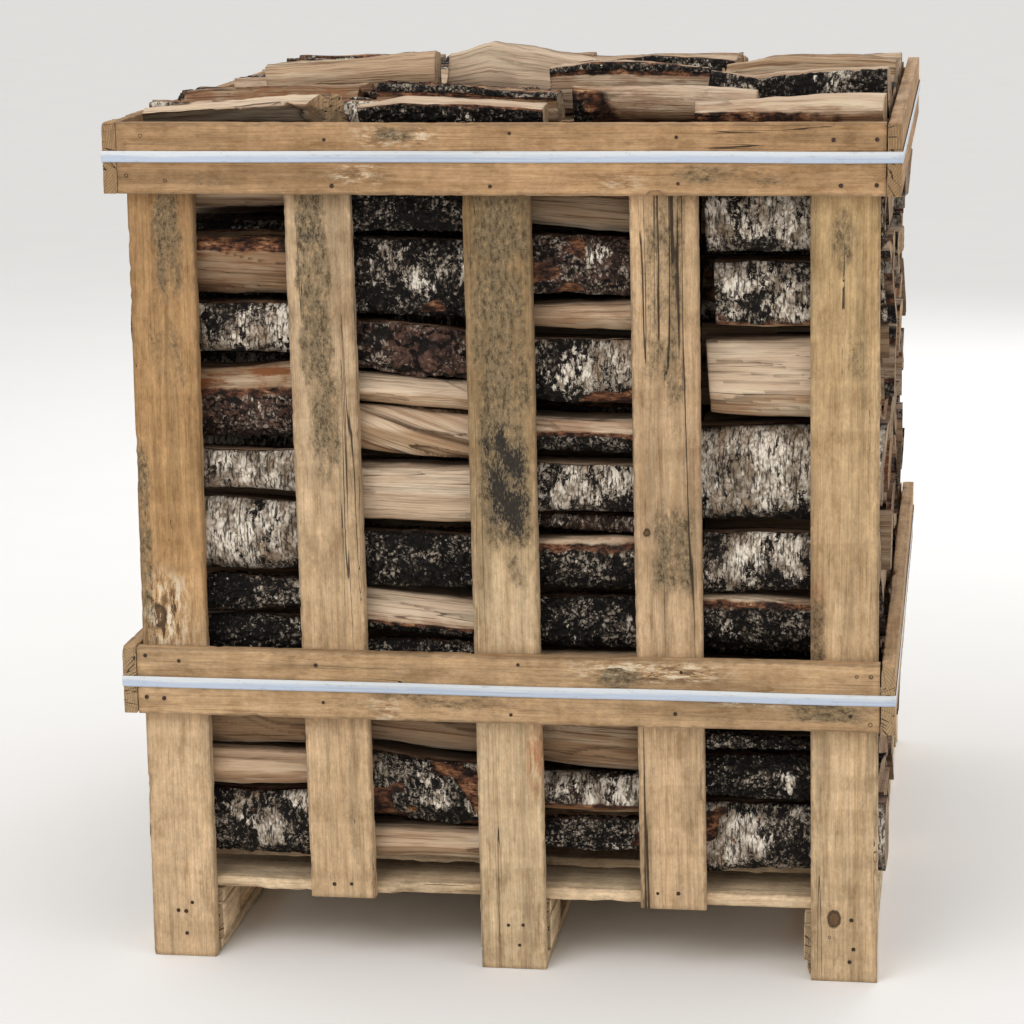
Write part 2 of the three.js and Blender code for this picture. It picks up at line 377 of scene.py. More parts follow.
# %% [markdown]
# ## Effects that several woods share
# Every wooden surface here has fibres along the grain, fine drying cracks and grey-black
# mould in speckles. Each is noise that is stretched along the grain: the first part of
# the vector runs along the fibres, so it is multiplied by a small factor and the other
# two by large ones.

# %% Node group for fibres
VECTOR, NUMBER = "NodeSocketVector", "NodeSocketFloat"
FULL_TURN = 6.2832


def build_fibre_group():
    """Streaks along the grain, broad and fine, and thin cracks where a stretched noise
    passes its middle value and a slow noise allows it."""
    group, given, result = new_group(
        "wood_fibres",
        [("Grain", VECTOR), ("Crack amount", NUMBER)],
        [("Broad", NUMBER), ("Fine", NUMBER), ("Cracks", NUMBER)],
    )
    grain = given.outputs["Grain"]
    broad = noise_at(group, grain, (3.0, 90.0, 90.0), 4.0)
    fine = noise_at(group, grain, (14.0, 620.0, 620.0), 3.0, 0.65)
    line = noise_at(group, grain, (0.9, 52.0, 52.0), 3.0, 0.35)
    middle = maths(group, "ABSOLUTE", minus(group, line, 0.5))
    allowed = noise_at(group, grain, (2.2, 19.0, 19.0), 2.0)
    width = times(group, given.outputs["Crack amount"], step_between(group, allowed, 0.5, 0.68))
    cracks = step_between(
        group, maths(group, "DIVIDE", middle, plus(group, width, 0.0005)), 0.006, 0.018, 1.0, 0.0
    )
    group.links.new(broad, result.inputs["Broad"])
    group.links.new(fine, result.inputs["Fine"])
    group.links.new(cracks, result.inputs["Cracks"])
    return group

# %% [markdown]
# ## Mould and rings
# Mould is speckle noise with a falling limit. Rings are a wave of the distance from the
# pith, the tree's own middle, so boards and logs can share them.

# %% Node groups for mould and growth rings
def build_mould_group():
    """Speckles that thicken with the amount: fine noise counts where it is over a limit
    that falls as the amount and a slow noise rise."""
    group, given, result = new_group(
        "mould_speckles", [("Place", VECTOR), ("Amount", NUMBER)], [("Mask", NUMBER)]
    )
    place = given.outputs["Place"]
    fine = noise_at(group, place, (170.0, 420.0, 420.0), 4.0, 0.7)
    slow = noise_at(group, place, (9.0, 30.0, 30.0), 3.0)
    need = minus(group, 0.86, times(group, given.outputs["Amount"], 0.42))
    have = plus(group, fine, times(group, minus(group, slow, 0.5), 0.45))
    mask = step_between(group, minus(group, have, need), -0.04, 0.1)
    group.links.new(mask, result.inputs["Mask"])
    return group


def build_ring_group():
    """Growth rings and drying cracks on a sawn end: rings are a sine of the distance from
    the pith, and cracks are thin sectors about it."""
    group, given, result = new_group(
        "growth_rings",
        [("From pith", VECTOR), ("Ring width", NUMBER)],
        [("Rings", NUMBER), ("Cracks", NUMBER)],
    )
    parts = node(group, "ShaderNodeSeparateXYZ", Vector=given.outputs["From pith"])
    y, z = parts.outputs[0], parts.outputs[1]
    distance = maths(group, "SQRT", plus(group, times(group, y, y), times(group, z, z)))
    wobble = noise_at(group, given.outputs["From pith"], (28.0,) * 3, 2.0)
    turns = plus(
        group, maths(group, "DIVIDE", distance, given.outputs["Ring width"]), times(group, wobble, 2.2)
    )
    rings = maths(group, "MULTIPLY_ADD", maths(group, "SINE", times(group, turns, FULL_TURN)), 0.5)
    rings.node.inputs[2].default_value = 0.5
    angle = maths(group, "ARCTAN2", y, z)
    spoke = node(
        group, "ShaderNodeCombineXYZ", X=times(group, angle, 5.0), Y=times(group, distance, 9.0),
        Z=parts.outputs[2],
    )
    spokes = noise_at(group, spoke.outputs[0], (1.0,) * 3, 2.0)
    cracks = step_between(group, maths(group, "ABSOLUTE", minus(group, spokes, 0.5)), 0.004, 0.014, 1.0, 0.0)
    group.links.new(rings, result.inputs["Rings"])
    group.links.new(cracks, result.inputs["Cracks"])
    return group


wood_fibres = build_fibre_group()
mould_speckles = build_mould_group()
growth_rings = build_ring_group()
print("groups", [group.name for group in bpy.data.node_groups])

# %% [markdown]
# ## Rough-sawn board
# The crate's boards are cheap softwood, sawn and never planed. Their colour comes from
# layers: a pale tan, long streaks along the grain, browner growth bands, thin cracks,
# knots, and grey-black mould where the board stayed damp. The mesh says how much mould,
# wear and cracking each place has, and the nodes break that up into fine speckles.

# %% Board material
ROUGH_GLOSS = 0.22


def tinted(tree, amount, colour, factors):
    """A colour, multiplied by the three factors where the amount is 1."""
    return blend(tree, amount, colour, blend(tree, 1.0, colour, (*factors, 1), "MULTIPLY"))


def growth_on_face(tree, wood, grain, fibres, deep, film):
    """The clean face: thin growth lines, long streaks both browner and paler, faint bands
    left by the saw's feed, and fine fibres."""
    bands = noise_at(tree, grain, (0.8, 26.0, 22.0), 2.0)
    lines = maths(tree, "SINE", times(tree, bands, 70.0))
    wood = blend(tree, step_between(tree, lines, 0.1, 1.0, 0.0, 0.26), wood, deep)
    wood = blend(tree, step_between(tree, fibres.outputs["Broad"], 0.46, 0.70, 0.0, 0.40), wood, deep)
    streaks = noise_at(tree, grain, (2.4, 40.0, 40.0), 4.0, 0.6)
    wood = blend(tree, step_between(tree, streaks, 0.50, 0.66, 0.0, 0.40), wood, film)
    wood = tinted(tree, step_between(tree, streaks, 0.47, 0.33, 0.0, 0.8), wood, (1.22, 1.24, 1.26))
    feed = noise_at(tree, grain, (26.0, 3.0, 3.0), 1.0)
    wood = tinted(tree, step_between(tree, feed, 0.48, 0.58), wood, (0.90, 0.89, 0.87))
    handling = noise_at(tree, grain, (18.0, 46.0, 46.0), 6.0, 0.74)
    wood = tinted(tree, step_between(tree, handling, 0.50, 0.64, 0.0, 0.75), wood, (0.70, 0.66, 0.60))
    wood = tinted(tree, step_between(tree, handling, 0.48, 0.36, 0.0, 0.8), wood, (1.20, 1.20, 1.18))
    return tinted(
        tree, step_between(tree, fibres.outputs["Fine"], 0.50, 0.68, 0.0, 0.5), wood, (0.52, 0.46, 0.40)
    )


def knots_and_tears(tree, wood, grain, marks):
    """Knots, torn places and red stain where the mesh asks for them. A knot's value falls from
    1 at its middle to 0 at three of its radii, so it gives the disc, its dark rim and the
    bent growth lines round it."""
    parts = node(tree, "ShaderNodeSeparateColor", Color=marks.outputs["Color"])
    fray = noise_at(tree, grain, (110.0, 160.0, 160.0), 3.0, 0.6)
    near = plus(tree, parts.outputs[0], times(tree, minus(tree, fray, 0.5), 0.10))
    ripple = maths(tree, "SINE", times(tree, near, 62.0))
    bent = times(tree, step_between(tree, ripple, 0.0, 1.0), step_between(tree, near, 0.12, 0.5))
    wood = tinted(tree, times(tree, bent, 0.6), wood, (0.62, 0.52, 0.42))
    wood = blend(tree, step_between(tree, near, 0.52, 0.62, 0.0, 0.9), wood, (0.045, 0.026, 0.014, 1))
    wood = blend(tree, step_between(tree, near, 0.70, 0.76, 0.0, 0.75), wood, (0.17, 0.095, 0.045, 1))
    shred = noise_at(tree, grain, (34.0, 130.0, 130.0), 4.0, 0.75)
    pale = times(tree, parts.outputs[1], step_between(tree, shred, 0.50, 0.58))
    wood = blend(tree, pale, wood, (0.78, 0.66, 0.48, 1))
    torn = times(tree, parts.outputs[1], step_between(tree, shred, 0.47, 0.40))
    wood = blend(tree, torn, wood, (0.10, 0.055, 0.028, 1))
    red = times(tree, parts.outputs[2], step_between(tree, shred, 0.36, 0.56))
    return tinted(tree, red, wood, (0.62, 0.36, 0.26)), near

# %% [markdown]
# ## Damp
# Where a board stayed wet, a thin film darkens it first, then flecks appear, and black
# mould comes last. The mesh gives one amount, and each of these starts at its own limit.

# %% Damp and the whole board material
def damp_marks(tree, wood, grain, mould, film):
    """What damp left: a film with flecks lighter and darker than itself, and black mould in
    speckles where it is worst."""
    patch = noise_at(tree, grain, (6.0, 24.0, 24.0), 5.0, 0.7)
    uneven = times(tree, minus(tree, patch, 0.5), 0.9)
    damp = step_between(tree, plus(tree, mould, uneven), 0.16, 0.52)
    wood = blend(tree, times(tree, damp, 0.80), wood, film)
    strength = plus(tree, times(tree, damp, 0.80), 0.20)
    mottle = noise_at(tree, grain, (95.0, 170.0, 170.0), 6.0, 0.8)
    dark = times(tree, step_between(tree, mottle, 0.50, 0.60), strength)
    wood = tinted(tree, dark, wood, (0.42, 0.38, 0.32))
    light = times(tree, step_between(tree, mottle, 0.48, 0.36), strength)
    wood = tinted(tree, light, wood, (1.75, 1.62, 1.42))
    specks = noise_at(tree, grain, (230.0, 400.0, 400.0), 3.0, 0.8)
    groups = step_between(tree, patch, 0.46, 0.60)
    speck = times(tree, plus(tree, times(tree, damp, groups), 0.08), 0.9)
    speck = times(tree, step_between(tree, specks, 0.57, 0.63), speck)
    wood = blend(tree, speck, wood, (0.075, 0.055, 0.036, 1))
    speckle = use_group(tree, mould_speckles, Place=grain, Amount=mould)
    wood = blend(tree, step_between(tree, mould, 0.6, 1.1, 0.0, 0.5), wood, (0.135, 0.110, 0.076, 1))
    strong = step_between(tree, mould, 0.45, 1.0, 0.42, 0.95)
    return blend(tree, times(tree, speckle.outputs["Mask"], strong), wood, (0.024, 0.020, 0.016, 1))


def build_board_material(name, pale, deep, film):
    """Sawn softwood. pale and deep are its two wood colours, film the colour that damp
    leaves on it."""
    material, tree, output = new_material(name)
    pale, deep, film = (*pale, 1), (*deep, 1), (*film, 1)
    grain = attribute(tree, "grain").outputs["Vector"]
    state, marks = attribute(tree, "state"), attribute(tree, "marks")
    masks = node(tree, "ShaderNodeSeparateColor", Color=state.outputs["Color"])
    mould, wear, cracked = masks.outputs[0], masks.outputs[1], masks.outputs[2]
    fibres = use_group(tree, wood_fibres, Grain=grain, Crack_amount=cracked)
    wood = growth_on_face(tree, pale, grain, fibres, deep, film)
    pith = attribute(tree, "pith").outputs["Vector"]
    rings = use_group(tree, growth_rings, From_pith=pith, Ring_width=0.0034)
    ring_shade = times(tree, rings.outputs["Rings"], 0.65)
    end_wood = blend(tree, ring_shade, (0.44, 0.33, 0.205, 1), (0.25, 0.165, 0.09, 1))
    end_wood = blend(tree, rings.outputs["Cracks"], end_wood, (0.04, 0.026, 0.018, 1))
    wood = blend(tree, state.outputs["Alpha"], wood, end_wood)
    wood = blend(tree, 1.0, wood, attribute(tree, "tint").outputs["Color"], "MULTIPLY")
    wood, near_knot = knots_and_tears(tree, wood, grain, marks)
    wood = damp_marks(tree, wood, grain, mould, film)
    wood = blend(tree, times(tree, fibres.outputs["Cracks"], 0.9), wood, (0.028, 0.019, 0.013, 1))
    frayed = times(tree, wear, noise_at(tree, grain, (60.0, 160.0, 160.0), 3.0))
    wood = blend(tree, step_between(tree, frayed, 0.25, 0.5, 0.0, 0.45), wood, (0.17, 0.115, 0.07, 1))
    height = times(tree, fibres.outputs["Fine"], 0.55)
    height = plus(tree, height, times(tree, fibres.outputs["Broad"], 0.6))
    height = minus(tree, height, times(tree, fibres.outputs["Cracks"], 1.6))
    saw = noise_at(tree, grain, (520.0, 12.0, 12.0), 2.0)
    height = plus(tree, height, times(tree, saw, 0.35))
    height = minus(tree, height, step_between(tree, near_knot, 0.56, 0.66, 0.0, 0.7))
    shine = step_between(tree, fibres.outputs["Broad"], 0.3, 0.7, 0.74, 0.92)
    finish_material(tree, output, wood, shine, height, 0.6, 0.0020, Specular_IOR_Level=ROUGH_GLOSS)
    return material


board_wood = build_board_material(
    "rough_sawn_board", (0.56, 0.405, 0.255), (0.37, 0.235, 0.125), (0.185, 0.138, 0.080)
)
pallet_wood = build_board_material(
    "weathered_pallet_board", (0.76, 0.58, 0.38), (0.50, 0.35, 0.21), (0.30, 0.24, 0.16)
)
print("materials", board_wood.name, pallet_wood.name)

# %% [markdown]
# ## The shape of a board
# A sawn board is a rectangle with slightly broken edges, carried along its length. Real
# ones bow and twist by a millimetre or two, their edges are nibbled by handling, and
# their ends are cut a little out of square. The outline is walked at even steps, so that
# the faces carry their own small waves.

# %% Board surface
def rounded_rectangle(half_width, half_thickness, radius, spacing):
    """Points round a rectangle with rounded corners, walked at even steps: a straight piece
    and a quarter circle for each side, anticlockwise from the lower right corner."""
    corners = [(1, -1, -90), (1, 1, 0), (-1, 1, 90), (-1, -1, 180)]
    outline = []
    for sign_x, sign_y, start in corners:
        middle = np.array([sign_x * (half_width - radius), sign_y * (half_thickness - radius)])
        turn = np.radians(start + np.linspace(0, 90, 4))
        outline.append(middle + radius * np.stack([np.cos(turn), np.sin(turn)], -1))
    outline = np.concatenate(outline)
    walked = []
    for here, there in zip(outline, np.roll(outline, -1, 0)):
        pieces = max(1, round(float(np.hypot(*(there - here))) / spacing))
        walked.append(here + (there - here) * (np.arange(pieces) / pieces)[:, None])
    return np.concatenate(walked)


def knot_nearness(x, y, knots):
    """1 at the middle of a knot, falling evenly to 0 at three of its radii, and a third longer
    along the grain. The nearest knot counts."""
    near = 0 * (x + y)
    for place, across, radius in knots:
        away = np.hypot((x - place) / 1.35, y - across) / (3 * radius)
        near = np.maximum(near, 1 - away)
    return np.clip(near, 0, 1)


def board_table(length, width, thickness, seed, spacing, wear, mould, tint, cracked, knots, torn, red):
    """A board along its own first axis, from 0 to length, with its width and thickness about
    0. Returns the points, faces and what they know. Each ring is the rounded outline, moved by
    slow noise for bow and by quick noise at the edges, where material is only taken away."""
    outline = rounded_rectangle(width / 2, thickness / 2, 0.0016, spacing[1])
    body = np.linspace(0, 1, max(3, round(length / spacing[0])) + 1)
    along, inward, on_end = ring_layout(body, [0.03, 0.5])
    x = along[:, None] * length + 0 * outline[:, 0][None]
    flat_y, flat_z = outline[:, 0][None], outline[:, 1][None]
    edge_y = smooth_step(0.80, 1.0, np.abs(flat_y) / (width / 2))
    corner = edge_y * smooth_step(0.55, 1.0, np.abs(flat_z) / (thickness / 2)) + 0 * x
    side = np.sign(flat_y) * 3.1 + np.sign(flat_z) * 7.7 + seed
    nibble = np.clip(rough_noise(x * 70, side, seed) - 0.16, 0, 1) * wear * 0.0030 * corner
    chip = np.clip(rough_noise(x * 11, side * 1.7, seed + 5) - 0.50, 0, 1) * wear * 0.020 * corner
    skin = 0.00035 * rough_noise(x * 60, flat_y * 160, flat_z * 160 + seed)
    shred = torn(x, flat_y) if torn else 0 * x
    skin = skin - 0.0012 * shred * np.abs(rough_noise(x * 45, flat_y * 140, seed + 8.0))
    near = knot_nearness(x, flat_y, knots)
    skin = skin + 0.0009 * smooth_step(0.2, 0.55, near) - 0.0018 * smooth_step(0.58, 0.72, near)
    bow_y = 0.0012 * noise(x * 2.1, seed + 0.5)
    bow_z = 0.0008 * noise(x * 2.6, seed + 9.5)
    y = flat_y * (1 - (nibble + chip) / (0.25 * width)) + bow_y - np.sign(flat_y) * 0.0006
    z = flat_z * (1 - (nibble + chip) / (0.5 * thickness)) + bow_z + np.sign(flat_z) * (skin - 0.0010)
    y = y * (1 - inward[:, None])
    z = z * (1 - inward[:, None])
    saw_marks = 0.0004 * rough_noise(y * 300, z * 300, seed)
    x = np.clip(x + on_end[:, None] * saw_marks, 0.0003, length - 0.0003)
    known = np.stack([x, y + seed * 1.37, z + seed * 0.61], -1)
    pith_y, pith_z = 0.03 * math.sin(seed * 0.63), 0.045 + 0.02 * math.cos(seed * 0.35)
    pith = np.stack([y + pith_y, z + pith_z, seed + 0 * y], -1)
    stain = mould(x, y) if mould else 0.22 * np.clip(noise(x * 3 + seed, y * 12, seed), 0, 1)
    state = np.stack([stain, corner, cracked + 0 * y, on_end[:, None] + 0 * y], -1)
    marks = np.stack([near, shred, red(x, y) if red else 0 * y, 1 + 0 * y], -1)
    shade = 1 + 0.10 * noise(x * 2.3 + seed, y * 7, seed + 2.0)[..., None] * np.array([1.0, 1.05, 1.12])
    chosen = tint(x, y) if callable(tint) else np.array(tint)
    colour = np.concatenate([chosen * shade, 1 + 0 * y[..., None]], -1)
    table = np.concatenate([np.stack([x, y, z], -1), known, pith, state, colour, marks], -1)
    quads, triangles = tube_faces(len(along), len(outline))
    return tube_rows(table, table[0].mean(0), table[-1].mean(0)), quads, triangles

# %% [markdown]
# ## A board in its solid's place
# A board is made along its own axes and then laid into the box of its solid, whose long
# side can point any way. The outer slats lean, so their rings also shift sideways.

# %% Placing boards
AXES = {"x": 0, "y": 1, "z": 2}


def place_board(
    parts, node_name, directions, seed, spacing=(0.009, 0.006), wear=1.0, mould=None, tint=(1, 1, 1),
    cracked=0.35, knots=(), torn=None, red=None,
):
    """Fills the solid called node_name. directions names the world axes of its length, width
    and thickness. Where the board leans, each ring moves sideways in proportion to its place
    between the solid's two ends, whose middles come from the solid's own corners."""
    low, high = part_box(node_name)
    order = [AXES[letter] for letter in directions]
    size = [high[axis] - low[axis] for axis in order]
    corners = np.array([v.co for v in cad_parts[node_name].data.vertices])
    length_axis, width_axis = order[0], order[1]
    near = corners[corners[:, length_axis] < low[length_axis] + 1e-4][:, width_axis]
    far = corners[corners[:, length_axis] > high[length_axis] - 1e-4][:, width_axis]
    middle_near, middle_far = (near.min() + near.max()) / 2, (far.min() + far.max()) / 2
    width = near.max() - near.min()
    rows, quads, triangles = board_table(
        size[0], width, size[2], seed, spacing, wear, mould, tint, cracked, knots, torn, red
    )
    local = rows[:, :3]
    points = np.zeros_like(local)
    points[:, order[0]] = low[length_axis] + local[:, 0]
    lean = middle_near + (middle_far - middle_near) * local[:, 0] / size[0]
    points[:, order[1]] = lean + local[:, 1]
    points[:, order[2]] = (low[order[2]] + high[order[2]]) / 2 + local[:, 2]
    if np.linalg.det(np.eye(3)[:, order]) < 0:
        quads, triangles = quads[:, ::-1], triangles[:, ::-1]
    parts.add(
        points, quads, triangles, grain=rows[:, 3:6], pith=rows[:, 6:9], state=rows[:, 9:13],
        tint=rows[:, 13:17], marks=rows[:, 17:21],
    )


sample = rounded_rectangle(0.045, 0.010, 0.0016, 0.006)
print("board outline has", len(sample), "points")

# %% [markdown]
# ## Slats and frame boards
# Five slats stand at the front and five at the back, and two frames of four boards run
# round them. Each board gets its own seed, so no two have the same grain. The front slats
# carry the mould that damp storage left: it is described by soft patches with a height,
# a place across the board and a spread.

# %% Slats and frames
def patches(*spots):
    """An amount along a board: for each spot (place, across, half length, half width,
    strength), exp(-d^4 - e^4) of the two distances in half lengths and half widths, which has
    a flat middle and a quick edge. Noise breaks the edge, and the strongest spot counts."""
    def amount(x, y):
        """The strongest spot at each place."""
        total = 0 * (x + y)
        shift = 0.35 * rough_noise(x * 20, y * 70, 3.0)
        ragged = 0.65 + 0.6 * (rough_noise(x * 34, y * 90, 9.0) + 0.5)
        for place, across, reach, spread, strength in spots:
            far = ((x - place) / reach) ** 4 + ((y - across) / spread) ** 4
            total = np.maximum(total, strength * np.exp(-far * (1 + 2 * np.clip(shift, -0.4, 2))) * ragged)
        return np.clip(total, 0, 1.3)
    return amount


def weathered(*stops):
    """A tint along an upright board, from stops of (height, colour) joined by even changes
    that noise pushes up and down the board."""
    heights = [stop[0] for stop in stops]
    def colour(x, y):
        """The tint at each place."""
        place = x + 0.05 * rough_noise(y * 30, x * 9, 2.0)
        return np.stack([np.interp(place, heights, [stop[1][i] for stop in stops]) for i in range(3)], -1)
    return colour


SLAT_LOOKS = {
    "slat_front_1": dict(
        mould=patches(
            (0.99, 0.008, 0.09, 0.024, 0.52), (0.84, 0.004, 0.06, 0.03, 0.36), (0.70, -0.01, 0.06, 0.02, 0.2),
            (0.60, -0.035, 0.16, 0.012, 0.5),
        ),
        tint=weathered(
            (0.40, (1.12, 1.10, 1.06)), (0.52, (0.92, 0.77, 0.58)), (0.78, (0.82, 0.68, 0.50)),
            (1.0, (0.66, 0.54, 0.40)),
        ),
        knots=((0.485, -0.022, 0.010),), torn=patches((0.49, -0.012, 0.055, 0.034, 1.0)), cracked=0.2,
    ),
    "slat_front_2": dict(
        mould=patches(
            (0.86, -0.008, 0.17, 0.026, 0.72), (0.66, 0.0, 0.10, 0.024, 0.42),
            (0.99, 0.012, 0.06, 0.018, 0.35),
        ),
        tint=weathered((0.34, (1.14, 1.11, 1.05)), (0.60, (1.06, 1.05, 1.03)), (0.95, (1.02, 1.02, 1.02))),
        cracked=0.35,
    ),
    "slat_front_3": dict(
        mould=patches(
            (0.675, 0.004, 0.085, 0.034, 1.15), (0.86, 0.0, 0.13, 0.042, 0.58), (1.03, 0.0, 0.08, 0.05, 0.52),
            (0.56, 0.014, 0.03, 0.016, 0.5),
        ),
        tint=weathered(
            (0.52, (1.08, 1.10, 1.07)), (0.58, (0.92, 0.92, 0.86)), (0.78, (0.68, 0.63, 0.52)),
            (1.0, (0.50, 0.445, 0.33)),
        ),
        cracked=0.3, red=patches((0.30, 0.035, 0.05, 0.012, 0.7)),
    ),
    "slat_front_4": dict(
        mould=patches(
            (0.84, 0.0, 0.16, 0.030, 0.45), (0.50, 0.004, 0.07, 0.030, 0.60),
            (0.99, 0.016, 0.06, 0.020, 0.45),
        ),
        tint=weathered((0.30, (1.10, 1.06, 1.01)), (0.50, (0.92, 0.88, 0.84)), (0.95, (1.04, 0.98, 0.91))),
        knots=((0.52, -0.028, 0.004),), cracked=0.95,
    ),
    "slat_front_5": dict(
        mould=patches(
            (1.0, 0.0, 0.05, 0.03, 0.35), (0.86, 0.012, 0.05, 0.018, 0.3), (0.49, -0.036, 0.06, 0.012, 0.5),
        ),
        tint=weathered((0.34, (1.10, 1.09, 1.04)), (0.55, (0.90, 0.86, 0.78)), (1.0, (0.94, 0.90, 0.74))),
        knots=((0.088, -0.014, 0.0075),), cracked=0.42, red=patches((0.50, -0.040, 0.06, 0.012, 1.0)),
    ),
}
FRAME_LOOKS = {
    "lower_frame_front": dict(
        mould=patches(
            (0.66, 0.02, 0.03, 0.012, 0.7), (0.93, -0.02, 0.06, 0.016, 0.55), (0.40, -0.02, 0.2, 0.014, 0.3),
        ),
        torn=patches(
            (0.70, 0.03, 0.09, 0.014, 0.9), (0.34, -0.03, 0.02, 0.02, 0.5), (0.83, -0.005, 0.05, 0.012, 0.6),
        ),
        knots=((0.652, 0.028, 0.0075),),
    ),
    "top_frame_front": dict(
        mould=patches(
            (0.37, 0.03, 0.03, 0.012, 0.55), (0.12, -0.03, 0.05, 0.014, 0.3),
            (0.80, -0.02, 0.08, 0.014, 0.35),
        ),
        torn=patches(
            (0.37, 0.03, 0.05, 0.012, 0.8), (0.32, -0.02, 0.03, 0.012, 0.6), (0.66, -0.03, 0.03, 0.01, 0.5)
        ),
    ),
    "other": dict(knots=((0.31, 0.02, 0.006), (0.83, -0.02, 0.008))),
}
boards = MeshParts()
board_nodes = []
for side, seed_start, spacing in (("front", 1, (0.0075, 0.0045)), ("back", 31, (0.010, 0.006))):
    for i in range(1, 6):
        name = f"slat_{side}_{i}"
        grey = 0.9 + 0.16 * math.sin(seed_start + 2.1 * i)
        back_look = dict(
            tint=weathered((0.3, (1.1, 1.07, 1.02)), (0.6, (0.95 * grey, 0.91 * grey, 0.84 * grey))),
            mould=patches((0.75 + 0.05 * i, 0.01, 0.16, 0.028, 0.5), (1.0, 0.0, 0.1, 0.04, 0.42)),
            knots=((0.2 + 0.13 * i, 0.02 * math.sin(5 * i), 0.006), (0.95 - 0.1 * i, -0.015, 0.004)),
        )
        place_board(boards, name, "zxy", seed_start + i, spacing, 1.0, **SLAT_LOOKS.get(name, back_look))
        board_nodes.append(name)
boards.build("slat_boards", board_wood, "crate_board", board_nodes)

FRAME_TINTS = ((0.94, 0.86, 0.76), (0.84, 0.72, 0.60))
frame_boards = MeshParts()
frame_nodes = []
for k, level_name in enumerate(("lower_frame", "top_frame")):
    for j, (side, directions) in enumerate(
        (("front", "xzy"), ("back", "xzy"), ("left", "yzx"), ("right", "yzx"))
    ):
        name = f"{level_name}_{side}"
        place_board(
            frame_boards, name, directions, 11.5 + 4 * k + j, (0.0085, 0.005), 1.15, tint=FRAME_TINTS[k],
            **FRAME_LOOKS.get(name, FRAME_LOOKS["other"]),
        )
        frame_nodes.append(name)
frame_boards.build("frame_boards", board_wood, "crate_board", frame_nodes)

# %% [markdown]
# ## The pallet
# Three runners stand on the floor, each a skid, three blocks and a stringer board, and
# nine deck boards lie across them. They are rough softwood too, only paler, so they use
# the same shape function and a paler material.

# %% Pallet
pallet = MeshParts()
pallet_nodes = []
for i, place in enumerate(("left", "middle", "right")):
    for part, first_seed in (("skid", 58), ("stringer", 51)):
        place_board(pallet, f"{part}_{place}", "yxz", first_seed + i, (0.016, 0.008))
        pallet_nodes.append(f"{part}_{place}")
    for j, where in enumerate(("front", "middle", "back")):
        place_board(pallet, f"block_{place}_{where}", "yxz", 71 + 3 * i + j, (0.008, 0.007))
        pallet_nodes.append(f"block_{place}_{where}")
for i in range(1, 10):
    place_board(pallet, f"deck_board_{i}", "xyz", 81 + i, (0.012, 0.008))
    pallet_nodes.append(f"deck_board_{i}")
pallet.build("pallet_boards", pallet_wood, "pallet_wood", pallet_nodes)

# %% [markdown]
# ## Birch: bark outside, wood inside
# Birch bark is a white papery skin with short dark dashes round the trunk. Old bark
# breaks into black furrowed plates, and where it came off, the red-brown inner bark or the
# bare wood shows. One material can hold all of it, because each point of a log knows how
# far it lies from the pith: near the trunk's surface it is bark, a few millimetres deeper
# it is inner bark, and further in it is wood, on a split face and on a sawn end alike.

# %% Birch material
COLOUR = "NodeSocketColor"


def surface_of(group, vector):
    """The surface place, warped by slow and by quick noise so that no pattern looks regular."""
    for scale, reach in ((30.0, 0.012), (140.0, 0.0055)):
        place = stretched(group, vector, (scale, scale, 1.0))
        warp = node(group, "ShaderNodeTexNoise", Vector=place, Scale=1.0, Detail=1.0)
        shift = stretched(group, warp.outputs["Color"], (reach, reach, 0.0))
        adding = {"operation": "ADD"}
        vector = node(group, "ShaderNodeVectorMath", adding, in_0=vector, in_1=shift).outputs[0]
    return vector


